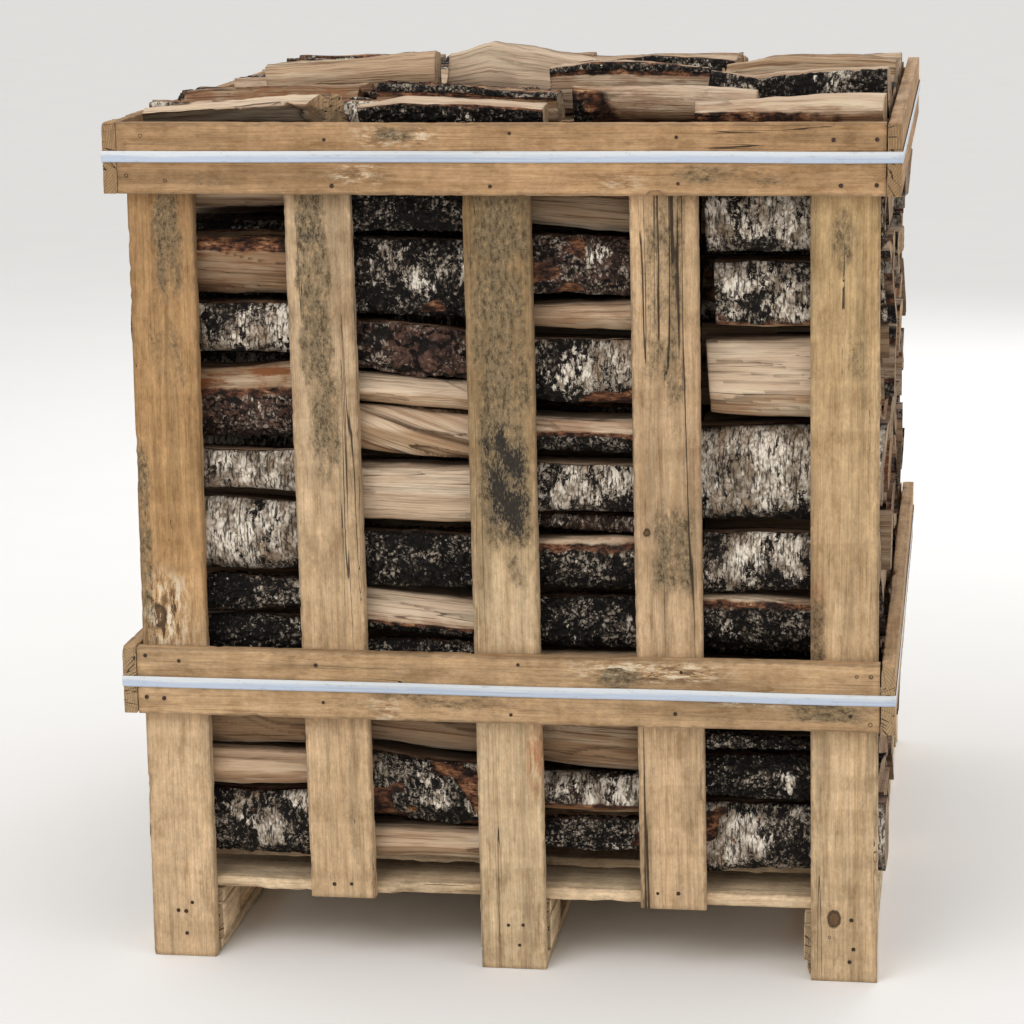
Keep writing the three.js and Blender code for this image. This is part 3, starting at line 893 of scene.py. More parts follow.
def build_bark_group():
    """Bark colour and height. Grains are rounded cells about 5 mm wide, each of its own
    brightness, drawn darker from the middle to the rim and darkest in the gaps between them,
    which is painted shade of their rounded shape. White skin covers them where fine noise is over
    a limit that the mesh's own dark value sets, so a bark can be white, black or mottled.
    Dashes are noise that is fine along the log and long round it."""
    group, given, result = new_group(
        "birch_bark",
        [("Surface", VECTOR), ("Dark", NUMBER), ("Crack", NUMBER), ("Red", NUMBER)],
        [("Colour", COLOUR), ("Height", NUMBER)],
    )
    surface = given.outputs["Surface"]
    bent = surface_of(group, surface)
    cell_place = stretched(group, bent, (215.0, 115.0, 1.0))
    cells = node(group, "ShaderNodeTexVoronoi", {"voronoi_dimensions": "2D"}, Vector=cell_place, Scale=1.0)
    cell_tone = node(group, "ShaderNodeSeparateColor", Color=cells.outputs["Color"]).outputs[0]
    # Painted shade: dome is 1 in a grain's middle and 0 at its rim, and the colours below darken each grain
    # towards its rim and in the gaps between grains.
    dome = step_between(group, cells.outputs["Distance"], 0.16, 0.58, 1.0, 0.0)
    gap = minus(group, 1.0, dome)

    cloud = noise_at(group, bent, (34.0, 24.0, 1.0), 5.0, 0.7)
    paper = blend(
        group, step_between(group, cloud, 0.38, 0.62), (0.25, 0.195, 0.140, 1), (0.95, 0.865, 0.745, 1)
    )
    blush = noise_at(group, surface, (40.0, 16.0, 1.0), 2.0)
    paper = blend(group, step_between(group, blush, 0.52, 0.7, 0.0, 0.5), paper, (0.44, 0.30, 0.20, 1))
    paper = tinted(
        group, times(group, gap, step_between(group, cell_tone, 0.3, 0.9, 1.0, 0.2)), paper,
        (0.46, 0.41, 0.36),
    )
    dashes = noise_at(group, surface, (330.0, 60.0, 1.0), 3.0, 0.6)
    dash_mask = step_between(group, dashes, 0.535, 0.59)
    paper = blend(group, times(group, dash_mask, 0.88), paper, (0.035, 0.027, 0.021, 1))

    fray = noise_at(group, bent, (170.0, 120.0, 1.0), 5.0, 0.82)
    streak = noise_at(group, surface, (150.0, 36.0, 1.0), 4.0, 0.7)
    mixed = plus(group, times(group, fray, 0.55), times(group, streak, 0.45))
    mixed = plus(group, mixed, step_between(group, cell_tone, 0.0, 1.0, -0.035, 0.035))
    need = plus(group, times(group, given.outputs["Dark"], 0.26), 0.405)
    white_mask = step_between(group, minus(group, mixed, need), -0.016, 0.022)

    tint = noise_at(group, bent, (60.0, 60.0, 1.0), 5.0, 0.75)
    cluster = noise_at(group, surface, (26.0, 26.0, 1.0), 2.0)
    grain_tone = plus(group, cell_tone, step_between(group, tint, 0.36, 0.64, -0.25, 0.2))
    grain = ramp(
        group, plus(group, grain_tone, step_between(group, cluster, 0.35, 0.62, -0.5, 0.12)),
        [
            (0.0, (0.010, 0.0075, 0.0055)), (0.45, (0.045, 0.033, 0.024)), (0.72, (0.120, 0.092, 0.068)),
            (0.92, (0.33, 0.275, 0.215)),
        ],
    )
    black = blend(group, dome, (0.006, 0.0045, 0.0035, 1), grain)
    reddish = blend(
        group, step_between(group, tint, 0.36, 0.62), (0.03, 0.014, 0.010, 1), (0.165, 0.085, 0.060, 1)
    )
    reddish = tinted(group, times(group, gap, 0.6), reddish, (0.4, 0.4, 0.4))
    black = blend(group, given.outputs["Red"], black, reddish)
    spark = noise_at(group, bent, (230.0, 200.0, 1.0), 4.0, 0.8)
    spark_limit = step_between(group, cluster, 0.35, 0.65, 0.62, 0.52)
    sparkle = step_between(group, minus(group, spark, spark_limit), 0.0, 0.05, 0.0, 0.8)
    black = blend(group, sparkle, black, (0.45, 0.385, 0.31, 1))
    colour = blend(group, white_mask, black, paper)
    cracked = step_between(group, given.outputs["Crack"], 0.2, 0.8, 0.0, 0.94)
    colour = blend(group, cracked, colour, (0.005, 0.004, 0.0035, 1))
    dome_share = step_between(group, given.outputs["Dark"], 0.2, 0.8, 0.15, 0.5)
    height = plus(group, times(group, mixed, 1.9), times(group, dome, dome_share))
    group.links.new(colour, result.inputs["Colour"])
    group.links.new(height, result.inputs["Height"])
    return group


birch_bark = build_bark_group()

# %% [markdown]
# ## All of a log in one material
# The depth under the trunk's surface picks bark, inner bark or wood. Two values shift the
# limits: how bare the bark is, and how far a place lies towards the sawn end.

# %% Bark, inner bark and wood together
def build_birch_material(name):
    """Bark, inner bark and wood, chosen by the depth below the trunk's surface."""
    material, tree, output = new_material(name)
    surface = attribute(tree, "surface").outputs["Vector"]
    trunk = attribute(tree, "trunk").outputs["Vector"]
    look = attribute(tree, "look")
    relief = attribute(tree, "relief")
    looks = node(tree, "ShaderNodeSeparateColor", Color=look.outputs["Color"])
    tone, bare, stain = looks.outputs[0], looks.outputs[1], looks.outputs[2]
    on_end = look.outputs["Alpha"]
    reliefs = node(tree, "ShaderNodeSeparateColor", Color=relief.outputs["Color"])
    dark, crack, painted_shade_mask = reliefs.outputs[0], reliefs.outputs[1], reliefs.outputs[2]
    parts = node(tree, "ShaderNodeSeparateXYZ", Vector=trunk)
    y, z, radius = parts.outputs[0], parts.outputs[1], parts.outputs[2]
    from_pith = maths(tree, "SQRT", plus(tree, times(tree, y, y), times(tree, z, z)))
    plain_depth = minus(tree, radius, from_pith)
    rag = noise_at(tree, surface, (45.0, 45.0, 1.0), 3.0)
    depth = minus(tree, plain_depth, times(tree, minus(tree, rag, 0.5), 0.005))

    fibres = use_group(tree, wood_fibres, Grain=surface, Crack_amount=0.8)
    wood = ramp(
        tree, tone,
        [
            (0.0, (0.74, 0.565, 0.405)), (0.3, (0.60, 0.405, 0.245)), (0.6, (0.33, 0.205, 0.115)),
            (1.0, (0.20, 0.155, 0.11)),
        ],
    )
    wood = tinted(
        tree, step_between(tree, fibres.outputs["Broad"], 0.46, 0.68, 0.0, 0.5), wood, (0.62, 0.50, 0.41)
    )
    strands = noise_at(tree, surface, (6.0, 270.0, 1.0), 3.0, 0.6)
    where_dark = step_between(tree, tone, 0.04, 0.35, 0.3, 1.0)
    strand_amount = times(tree, step_between(tree, strands, 0.54, 0.66, 0.0, 0.75), where_dark)
    wood = tinted(tree, strand_amount, wood, (0.56, 0.42, 0.32))
    wood = tinted(
        tree, step_between(tree, fibres.outputs["Fine"], 0.52, 0.66, 0.0, 0.5), wood, (0.48, 0.39, 0.32)
    )
    pale = noise_at(tree, surface, (7.0, 44.0, 1.0), 3.0, 0.6)
    pale_amount = times(
        tree, step_between(tree, pale, 0.48, 0.66, 0.0, 0.6), step_between(tree, tone, 0.3, 0.8, 1.0, 0.15)
    )
    wood = blend(tree, pale_amount, wood, (0.80, 0.66, 0.48, 1))
    wood = blend(tree, times(tree, fibres.outputs["Cracks"], 0.8), wood, (0.05, 0.03, 0.02, 1))
    rust = noise_at(tree, surface, (18.0, 55.0, 1.0), 4.0, 0.65)
    near_bark = step_between(tree, depth, 0.006, 0.030, 1.0, 0.0)
    rust_amount = times(
        tree, step_between(tree, rust, 0.42, 0.62), plus(tree, times(tree, near_bark, 0.65), stain)
    )
    wood = blend(tree, times(tree, rust_amount, 0.85, clamp=True), wood, (0.25, 0.095, 0.035, 1))

    rings = use_group(tree, growth_rings, From_pith=trunk, Ring_width=0.0026)
    sawn = blend(
        tree, times(tree, rings.outputs["Rings"], 0.5), (0.50, 0.36, 0.225, 1), (0.33, 0.215, 0.125, 1)
    )
    grey = noise_at(tree, trunk, (16.0, 16.0, 1.0), 4.0, 0.6)
    sawn = blend(tree, step_between(tree, grey, 0.40, 0.66, 0.0, 0.6), sawn, (0.21, 0.165, 0.125, 1))
    teeth = noise_at(tree, trunk, (420.0, 22.0, 1.0), 3.0, 0.6)
    sawn = blend(tree, step_between(tree, teeth, 0.48, 0.66, 0.0, 0.45), sawn, (0.15, 0.10, 0.065, 1))
    heart = step_between(tree, from_pith, 0.012, 0.034, 0.6, 0.0)
    sawn = blend(tree, heart, sawn, (0.22, 0.115, 0.055, 1))
    sawn = tinted(tree, step_between(tree, tone, 0.28, 0.0, 0.0, 0.9), sawn, (1.45, 1.38, 1.24))
    sawn = tinted(tree, step_between(tree, tone, 0.32, 0.85, 0.0, 0.8), sawn, (0.58, 0.56, 0.56))
    sawn = tinted(tree, times(tree, stain, 0.8, clamp=True), sawn, (1.05, 0.72, 0.50))
    sawn = blend(tree, rings.outputs["Cracks"], sawn, (0.03, 0.02, 0.014, 1))
    wood = blend(tree, on_end, wood, sawn)

    bark = use_group(tree, birch_bark, Surface=surface, Dark=dark, Crack=crack, Red=stain)
    flame = noise_at(tree, surface, (38.0, 52.0, 1.0), 5.0, 0.72)
    inner = ramp(
        tree, flame,
        [
            (0.38, (0.014, 0.009, 0.007)), (0.46, (0.060, 0.026, 0.016)), (0.53, (0.17, 0.070, 0.036)),
            (0.60, (0.31, 0.14, 0.065)), (0.68, (0.52, 0.34, 0.19)),
        ],
    )
    split_lines = noise_at(tree, surface, (34.0, 120.0, 1.0), 4.0, 0.6)
    split_gap = maths(tree, "ABSOLUTE", minus(tree, split_lines, 0.5))
    inner = blend(
        tree, step_between(tree, split_gap, 0.006, 0.022, 0.85, 0.0), inner, (0.010, 0.006, 0.004, 1)
    )
    is_inner = step_between(tree, depth, 0.0062, 0.0085, 1.0, 0.0)
    torn_edge = noise_at(tree, surface, (85.0, 130.0, 1.0), 5.0, 0.75)
    ragged = plus(tree, bare, times(tree, minus(tree, torn_edge, 0.5), 1.5))
    in_skin = step_between(tree, depth, 0.0032, 0.0044, 1.0, 0.0)
    is_bark = times(tree, in_skin, step_between(tree, ragged, 0.42, 0.56, 1.0, 0.0))
    edge_bark = blend(tree, on_end, bark.outputs["Colour"], (0.025, 0.02, 0.017, 1))
    colour = blend(tree, is_inner, wood, inner)
    colour = blend(tree, is_bark, colour, edge_bark)
    # Painted shade: the colour is darkened to about a tenth of itself where the mesh's shade mask is high.
    colour = blend(
        tree, times(tree, painted_shade_mask, 0.9), colour, blend(tree, 1.0, colour, (0.13, 0.10, 0.08, 1), "MULTIPLY")
    )

    wood_height = times(tree, fibres.outputs["Fine"], 0.8)
    wood_height = minus(tree, wood_height, step_between(tree, strands, 0.54, 0.66, 0.0, 0.7))
    split_edge = step_between(tree, split_gap, 0.006, 0.022, -0.9, 0.0)
    wood_height = mixed_value(
        tree, step_between(tree, plain_depth, 0.0062, 0.0085, 1.0, 0.0), wood_height, split_edge
    )
    barked = times(tree, step_between(tree, plain_depth, 0.0032, 0.0044, 1.0, 0.0), minus(tree, 1.0, bare))
    height = mixed_value(tree, barked, wood_height, bark.outputs["Height"])
    shine = step_between(tree, rag, 0.3, 0.7, 0.72, 0.93)
    finish_material(tree, output, colour, shine, height, 0.8, 0.0028, Specular_IOR_Level=ROUGH_GLOSS)
    return material


stack_birch = build_birch_material("stacked_birch")
loose_birch = build_birch_material("loose_birch_log")
print("birch nodes", len(stack_birch.node_tree.nodes))

# %% [markdown]
# ## The shape of a split log
# A trunk is sawn to 25 cm and split along its grain with straight cuts. Seen from its
# end, a piece is therefore a polygon of cuts that is also inside the circle of the trunk,
# and bark is only where the circle bounds it. So each log is made as that shape: a
# polygon, the place of the pith and the trunk's radius.

# %% Section of a log
def section_reach(directions, polygon, centre, pith, radius, soften=0.0022):
    """Distance from the centre to the outline along each direction: the nearest of the
    polygon's sides and of the circle, as a soft minimum, -s ln(sum of exp(-distance / s)),
    which rounds the corners by about s."""
    sides = np.roll(polygon, -1, 0) - polygon
    normals = np.stack([sides[:, 1], -sides[:, 0]], -1) / np.hypot(*sides.T)[:, None]
    to_side = ((polygon - centre) * normals).sum(1)
    facing = directions @ normals.T
    to_sides = np.where(facing > 1e-3, to_side / np.maximum(facing, 1e-3), 9.0)
    offset = centre - pith
    inward = directions @ offset
    to_circle = -inward + np.sqrt(np.maximum(inward**2 - offset @ offset + radius**2, 1e-8))
    every = np.minimum(np.concatenate([to_sides, to_circle[:, None]], 1), 0.5)
    return -soften * np.log(np.exp(-every / soften).sum(1))


def section_centre(polygon, pith, radius):
    """The middle of the part of the polygon inside the circle, from a grid of test points."""
    low, high = polygon.min(0), polygon.max(0)
    grid = np.stack(np.meshgrid(*(np.linspace(a, b, 26)[1:-1] for a, b in zip(low, high))), -1).reshape(-1, 2)
    sides = np.roll(polygon, -1, 0) - polygon
    normals = np.stack([sides[:, 1], -sides[:, 0]], -1)
    inside = ((grid[:, None] - polygon[None]) * normals[None]).sum(-1).max(1) < 0
    inside &= np.hypot(*(grid - pith).T) < radius
    return grid[inside].mean(0)


def section_outline(polygon, pith, radius, count, seen):
    """Points round the section, anticlockwise, with their distance walked. seen is the
    direction the log is looked at from: steps are about five times longer on its far side."""
    centre = section_centre(polygon, pith, radius)
    angles = np.linspace(0, 2 * np.pi, 721)
    directions = np.stack([np.cos(angles), np.sin(angles)], -1)
    reach = section_reach(directions, polygon, centre, pith, radius)
    outline = reach[:, None] * directions
    step = np.hypot(*np.diff(outline, axis=0).T)
    arc = np.concatenate([[0], np.cumsum(step)])
    if seen is not None:
        ahead = directions[:-1] @ np.array([math.cos(seen), math.sin(seen)])
        step = step * (0.2 + 0.8 * smooth_step(-0.35, 0.15, ahead))
    walked = np.concatenate([[0], np.cumsum(step)])
    chosen = np.interp(np.linspace(0, walked[-1], count, endpoint=False), walked, angles)
    directions = np.stack([np.cos(chosen), np.sin(chosen)], -1)
    reach = section_reach(directions, polygon, centre, pith, radius)
    return centre, reach[:, None] * directions, np.interp(chosen, angles, arc)

# %% [markdown]
# ## Relief of bark and of split wood
# Bark stands out in plates with furrows between them. A split face is a slow swell with
# ledges, where the split jumped from one layer of wood to the next.

# %% Relief
def bark_relief(x, arc, seed, rough, dark, plates):
    """Height of bark, how deep in a crack it is, and where it stands out. Plates are
    cells of a scattered pattern about 33 mm long and 17 mm wide times the plate size, bent by
    noise and crossed by short furrows; papery bark only ripples."""
    bend = 1.1 * rough_noise(x * 38, arc * 45, seed + 2.0, 3)
    gap = plate_gap(x * 30 / plates + bend, arc * 58 / plates - bend, seed * 13)
    furrow = smooth_step(0.0, 0.22, gap + 0.12 * rough_noise(x * 150, arc * 150, seed + 9.0, 2))
    cross = np.abs(rough_noise(x * 42, arc * 78, seed + 8.0, 3))
    furrow = furrow * (0.45 + 0.55 * smooth_step(0.0, 0.14, cross))
    fine = rough_noise(x * 120, arc * 150, seed, 3)
    lumps = rough_noise(x * 26, arc * 34, seed + 4.0, 3)
    plated = rough * dark
    height = plated * ((furrow - 0.8) * 0.0052 + 0.0024 * fine) + 0.0014 * lumps * (0.35 + rough)
    height = height + (1 - dark) * 0.0005 * fine
    raised = smooth_step(0.05, 0.6, fine + 0.5 * lumps) * furrow
    return height, np.clip((1 - furrow) * plated * 1.2, 0, 1), raised


def split_relief(x, arc, seed, torn):
    """Height of a split face, and where painted shade darkens its creases: a slow swell, ledges along the
    grain where the split jumped from one layer to the next, a few splinters and fine fibres."""
    swell = 0.0030 * noise(x * 6, arc * 15, seed)
    drift = arc * 30 + 0.9 * noise(x * 7, arc * 9, seed + 1.0)
    ledge_field = 2.1 * rough_noise(x * 2.6, drift, seed + 2.0, 2)
    ledge = (terrace(ledge_field, 0.10) - ledge_field) * 0.0036 + ledge_field * 0.0012
    fibre = rough_noise(x * 10, arc * 240, seed + 3.0, 2)
    splinter = np.clip(rough_noise(x * 4, arc * 70, seed + 6.0, 2) - 0.28, 0, 1)
    height = swell + torn * (ledge - 0.007 * splinter) + 0.0004 * fibre
    # Painted shade: this mask is high just before a ledge drops and along the splinters' grooves, and it only
    # darkens the colour.
    crease_shade = torn * (smooth_step(0.86, 1.0, ledge_field - np.floor(ledge_field)) * 0.75 + 2.2 * splinter)
    return height, np.clip(crease_shade, 0, 1)

# %% [markdown]
# ## One whole log
# The outline is carried along X, and each place learns how deep under the trunk's surface
# it lies. That one number says whether bark or wood gives the relief there.

# %% One log
def add_log(
    parts, polygon, pith, radius, span, look, seed, body, around, seen=None, lean=(0.0, 0.0), caps=(0.03, 0.4)
):
    """One log along X. Every ring is the section, swollen by slow noise and raised along its
    own outward direction by bark or split relief. lean moves it in Y and Z along X, taper
    makes one end thicker, and the two ends are cut a little askew. seen is the direction
    that a log is looked at from: what lies 20 to 46 mm behind that side and what lies low in
    the section get painted shade, and so does all of a log that is seen from no side, except
    its ends. Faces that look down, and by the look's face value those that look to the front,
    get a darker tone, which is painted shade too. caps are the shares of the way to the middle at
    which rings divide the ends."""
    polygon, pith = np.asarray(polygon, float), np.asarray(pith, float)
    centre, outline, arc = section_outline(polygon, pith, radius, around, seen)
    tangent = np.roll(outline, -1, 0) - np.roll(outline, 1, 0)
    outward = np.stack([tangent[:, 1], -tangent[:, 0]], -1) / np.hypot(*tangent.T)[:, None]
    along, inward, on_end = ring_layout(body, caps)
    length = span[1] - span[0]
    x = span[0] + along[:, None] * length + 0 * arc[None]
    arc_table = arc[None] + look["twist"] * (x - span[0])
    skin = radius + (0.0016 if look["split"] else 0.0) + look["fade"] * along[:, None]
    depth = skin - np.hypot(*(outline + centre - pith).T)[None]
    thin, thick = (0.0034, 0.0058) if look["split"] else (0.0018, 0.0042)
    barked = 1 - smooth_step(thin, thick, depth)
    field = 1.25 * rough_noise(x * 21, arc_table * 17, seed + 21.0)
    # Painted shade: bark on the lower side of the section is drawn darker, by 0.55 times the square of how
    # far down it lies.
    below = np.clip(-outline[:, 1] / np.abs(outline[:, 1]).max(), 0, 1)[None]
    dark = smooth_step(-0.55, 0.60, field + (0.5 - look["white"]) * 1.6 + 0.55 * below**2)
    bare_field = rough_noise(x * 11, arc_table * 14, seed + 33.0, 3)
    bare = smooth_step(0.0, 0.10, bare_field - (1 - 2 * look["peel"]) * 0.75) * barked
    bark_height, bark_crack, raised = bark_relief(x, arc_table, seed, look["rough"], dark, look["plates"])
    split_height, crease_shade = split_relief(x, arc_table, seed + 40.0, look["torn"])
    bark_height = bark_height * (1 - bare) - bare * 0.0024
    height = barked * bark_height + (1 - barked) * split_height
    swell = 0.0050 * noise(x * 8, arc_table * 8, seed + 50.0)
    swell = swell + 0.0022 * rough_noise(x * 24, arc_table * 20, seed, 2)
    height = (height + swell) * (1 - 0.3 * on_end[:, None])
    shrink = ((1 - inward) * (1 + look["taper"] * (along - 0.5)))[:, None, None]
    plain = outline[None] * (1 - inward)[:, None, None]
    moved = (outline[None] + outward[None] * height[..., None]) * shrink
    skew = noise(seed + 0.5, np.array([1.5, 2.5, 3.5, 4.5])) * 0.16
    near_cut = skew[0] * moved[..., 0] + skew[1] * moved[..., 1]
    far_cut = (skew[2] + look["cut"]) * moved[..., 0] + skew[3] * moved[..., 1]
    slope = np.where(along[:, None] < 0.5, near_cut, far_cut)
    reach = np.abs(along[:, None] - 0.5) * 2
    teeth = 0.0007 * rough_noise(plain[..., 0] * 90, plain[..., 1] * 90, seed) * on_end[:, None]
    world_x = x + slope * reach**2 + teeth
    middle = (span[0] + span[1]) / 2
    y = centre[0] + moved[..., 0] + lean[0] * (world_x - middle)
    z = centre[1] + moved[..., 1] + lean[1] * (world_x - middle)
    # Painted shade: a log that no side shows is darkened all over but its ends, and a seen log is darkened 20
    # to 46 mm behind its seen side and on its lower side.
    grime = (0.7 * look["grime"] * (1 - on_end))[:, None] + 0 * x
    if seen is not None:
        ahead = moved @ np.array([math.cos(seen), math.sin(seen)])
        behind = ahead.max() - ahead + 0.006 * noise(x * 30, arc_table * 30, seed)
        grime = smooth_step(0.020, 0.046, behind) + 0.45 * smooth_step(0.55, 1.0, below)
        grime = np.clip(grime, 0, 1) * look["grime"] * (1 - on_end[:, None])
    shift = seed * 0.731
    surface = np.stack([x + shift, arc_table * (1 - 0.5 * inward[:, None]) + shift, seed + 0 * x], -1)
    trunk = np.stack(
        [plain[..., 0] + centre[0] - pith[0], plain[..., 1] + centre[1] - pith[1], skin + 0 * x], -1
    )
    # Painted shade: the tone rises, which darkens the wood, on faces that look to the front, by the look's
    # face value, and on faces that look down, by 0.30.
    facing = smooth_step(0.70, 0.84, -outward[:, 0])[None]
    under = smooth_step(0.12, 0.55, -outward[:, 1])[None] * (1 - on_end[:, None])
    tone = look["tone"] + look["face"] * facing + 0.30 * under + 0 * x
    states = [tone, bare, look["stain"] + 0 * x, on_end[:, None] + 0 * x]
    # Painted shade: this mask joins the shade painted in the creases of split faces and the shade painted by
    # depth.
    painted_shade_mask = np.maximum(crease_shade * (1 - barked) * (1 - on_end[:, None]), grime)
    # Partly real, partly painted highlight: where the bark stands out it is drawn up to 0.38 less dark, for
    # the paler tops of real plates and as a painted highlight on them.
    reliefs = [dark * (1 - 0.38 * raised), bark_crack * barked * (1 - bare), painted_shade_mask, 1 + 0 * x]
    table = np.concatenate(
        [np.stack([world_x, y, z], -1), surface, trunk, np.stack(states, -1), np.stack(reliefs, -1)], -1
    )
    rows = tube_rows(table, table[0].mean(0), table[-1].mean(0))
    quads, triangles = tube_faces(len(along), around)
    parts.add(
        rows[:, :3], quads, triangles, surface=rows[:, 3:6], trunk=rows[:, 6:9], look=rows[:, 9:13],
        relief=rows[:, 13:17],
    )


print("a soft minimum of 0.05 and 0.05:", round(float(-0.0022 * np.log(2 * np.exp(-0.05 / 0.0022))), 4))

# %% [markdown]
# ## Looks of a log
# Every face of birch in the stack is one of a few kinds. A kind says how white, furrowed
# and peeled the bark is, how torn and how dark the wood is, and which way the bark faces,
# in degrees round the log: 0 is the back, 90 up, 180 the front and 270 down.

# %% Kinds of log
# In these values, 0.85 is the strength of the painted shade that add_log lays on the hidden and lower parts
# of a log.
PLAIN_LOG = dict(
    white=0.5, rough=0.5, peel=0.12, tone=0.2, torn=0.6, stain=0.0, plates=0.5, inset=0.0, ridge=0.0,
    crest=0.5, taper=0.0, twist=0.0, grime=0.85, split=None, recede=0.48, face=0.0, fade=0.0, cut=0.0,
)


def kind(turn, radius, **changes):
    """The values of one kind of log, by name. The radius is a share of the log's height. A
    ridge is how far two split faces meet in front of the log's corners, and crest is how high
    up, as a share of the height. A split is the share of the front that the bark covers, from
    below or, where the bark faces up, from above, and the wood beyond it recedes by a share of
    the height. face is how much darker the front is than the top: painted shade. fade is how far the trunk's
    surface moves out along the log, so that bark gives way to wood. cut is how far the far
    end's saw cut leans away from square, and twist turns the relief about the log."""
    return {**PLAIN_LOG, "turn": turn, "radius": radius, **changes}


KINDS = {
    "white": kind(180, 0.62, white=0.78, rough=0.5),
    "mottled": kind(180, 0.58, white=0.52, rough=0.8),
    "dark": kind(180, 0.56, white=0.24, rough=1.0),
    "plated": kind(180, 0.60, white=0.10, rough=1.0, peel=0.2, plates=1.2, stain=0.9),
    "peeled": kind(180, 0.60, white=0.28, rough=0.8, peel=0.62),
    "cream": kind(30, 1.5, tone=0.0, torn=0.5, ridge=0.012, crest=0.6),
    "tan": kind(20, 1.5, tone=0.26, torn=0.9, ridge=0.014, crest=0.5),
    "pink": kind(10, 1.5, tone=0.10, torn=0.8, stain=0.1, ridge=0.012, crest=0.45),
    "brown": kind(20, 1.5, tone=0.60, torn=0.9, stain=0.4, ridge=0.012, crest=0.5),
    "grey": kind(10, 1.5, tone=0.85, torn=0.7, inset=0.012, ridge=0.006, crest=0.4),
    "edged": kind(235, 0.72, white=0.25, rough=0.9, tone=0.12, torn=0.6, peel=0.15, split=0.6),
    "ridged": kind(225, 0.70, white=0.3, rough=0.9, tone=0.35, torn=0.8, peel=0.2, stain=0.4, split=0.5),
}
KIND_SHARES = {
    "white": 3, "mottled": 4, "dark": 4, "plated": 2, "peeled": 1, "cream": 2,
    "tan": 3, "pink": 2, "brown": 2, "grey": 1, "edged": 2, "ridged": 1,
}
print(len(KINDS), "kinds")

# %% [markdown]
# ## The front of each stack
# The front logs are the ones that people see, so each is listed one by one: the height of
# its top and bottom above the floor in millimetres, its kind, and what differs from the
# kind. A slope tips the log along its length.

# %% Front logs, from the top down
FRONT_LOGS = {
    1: [
        (1126, 1104, "tan", {}),
        (1100, 1034, "grey", dict(slope=-0.03, tone=0.55)),
        (
            1002, 917, "ridged",
            dict(turn=100, torn=1.2, tone=0.34, stain=0.3, split=0.20, peel=0.9, slope=-0.05),
        ),
        (913, 834, "mottled", dict(white=0.60)),
        (829, 718, "ridged", dict(tone=0.50, stain=0.8, torn=1.0, white=0.36, split=0.60)),
        (714, 648, "white", dict(white=0.80)),
        (643, 540, "white", dict(white=0.70, slope=-0.05)),
        (537, 487, "dark", {}),
        (484, 410, "dark", dict(white=0.12)),
        (406, 376, "brown", {}),
        (372, 295, "grey", dict(tone=0.6, slope=0.04)),
        (291, 238, "pink", dict(torn=0.3, tone=0.18)),
        (235, 133, "mottled", dict(white=0.56, plates=0.35)),
    ],
    2: [
        (1126, 1080, "tan", {}),
        (1075, 999, "dark", dict(white=0.10)),
        (998, 884, "dark", dict(white=0.36, radius=0.58)),
        (882, 812, "plated", dict(slope=-0.16, plates=2.0, peel=0.0, white=0.04)),
        (811, 769, "tan", dict(tone=0.03, torn=0.6, slope=-0.12, crest=0.5, ridge=0.02)),
        (
            770, 700, "tan",
            dict(torn=1.5, tone=0.10, slope=-0.14, turn=20, twist=-0.30, ridge=0.02, crest=0.62),
        ),
        (699, 606, "cream", dict(torn=0.6)),
        (602, 521, "dark", dict(white=0.12)),
        (519, 455, "edged", dict(tone=0.03, slope=-0.15, split=0.22, torn=0.9)),
        (451, 405, "dark", {}),
        (401, 366, "mottled", {}),
        (362, 293, "grey", dict(tone=0.7, slope=-0.16)),
        (291, 188, "mottled", dict(peel=0.50, white=0.42, slope=-0.20, radius=0.6, plates=0.35)),
        (184, 139, "tan", dict(tone=0.15, torn=0.9)),
    ],
    3: [
        (1126, 1066, "brown", {}),
        (1060, 1003, "grey", dict(tone=0.75, slope=-0.12)),
        (1000, 918, "dark", dict(peel=0.36, white=0.12, stain=0.5)),
        (915, 872, "tan", dict(tone=0.16, inset=0.012, torn=0.5)),
        (869, 770, "mottled", dict(white=0.58, peel=0.30, radius=0.6)),
        (762, 704, "edged", dict(tone=0.06, slope=-0.04, split=0.52)),
        (701, 626, "white", dict(white=0.64)),
        (623, 600, "brown", dict(inset=0.01, slope=-0.05)),
        (597, 522, "edged", dict(tone=0.1, white=0.22, split=0.80)),
        (518, 440, "dark", dict(white=0.34)),
        (436, 398, "tan", {}),
        (394, 350, "brown", {}),
        (345, 274, "grey", dict(tone=0.6, slope=-0.08)),
        (270, 210, "ridged", dict(turn=120, white=0.62, peel=0.3, stain=0.2, split=0.72)),
        (206, 160, "dark", dict(white=0.3)),
    ],
    4: [
        (1126, 1080, "tan", {}),
        (1075, 976, "white", dict(white=0.50, start=0.012)),
        (971, 878, "mottled", dict(white=0.46, peel=0.25, start=0.026, split=0.90, turn=140, tone=0.3)),
        (869, 756, "pink", dict(torn=0.8, tone=0.03, start=0.012, ridge=0.022, crest=0.36)),
        (752, 615, "white", dict(white=0.78, radius=0.58, peel=0.1)),
        (607, 527, "mottled", dict(white=0.45)),
        (521, 432, "edged", dict(white=0.24, tone=0.14, split=0.86, slope=-0.03)),
        (428, 384, "tan", {}),
        (380, 340, "brown", {}),
        (334, 309, "dark", {}),
        (306, 238, "dark", dict(white=0.2)),
        (233, 132, "mottled", dict(white=0.50, peel=0.40, rough=0.6, plates=0.35)),
    ],
}
for column, logs in FRONT_LOGS.items():
    print("stack", column, "has", len(logs), "logs at its front")

# %% [markdown]
# ## Stacking the rest
# Behind the front logs, each stack goes on in uneven layers. The layers' heights change
# from those at the front to other ones at the back, and each layer is cut into cells of
# uneven width. A cell gets a log that fills it: the bark faces any way, so that quarters,
# halves and whole rounds lie mixed as they do in a real stack.

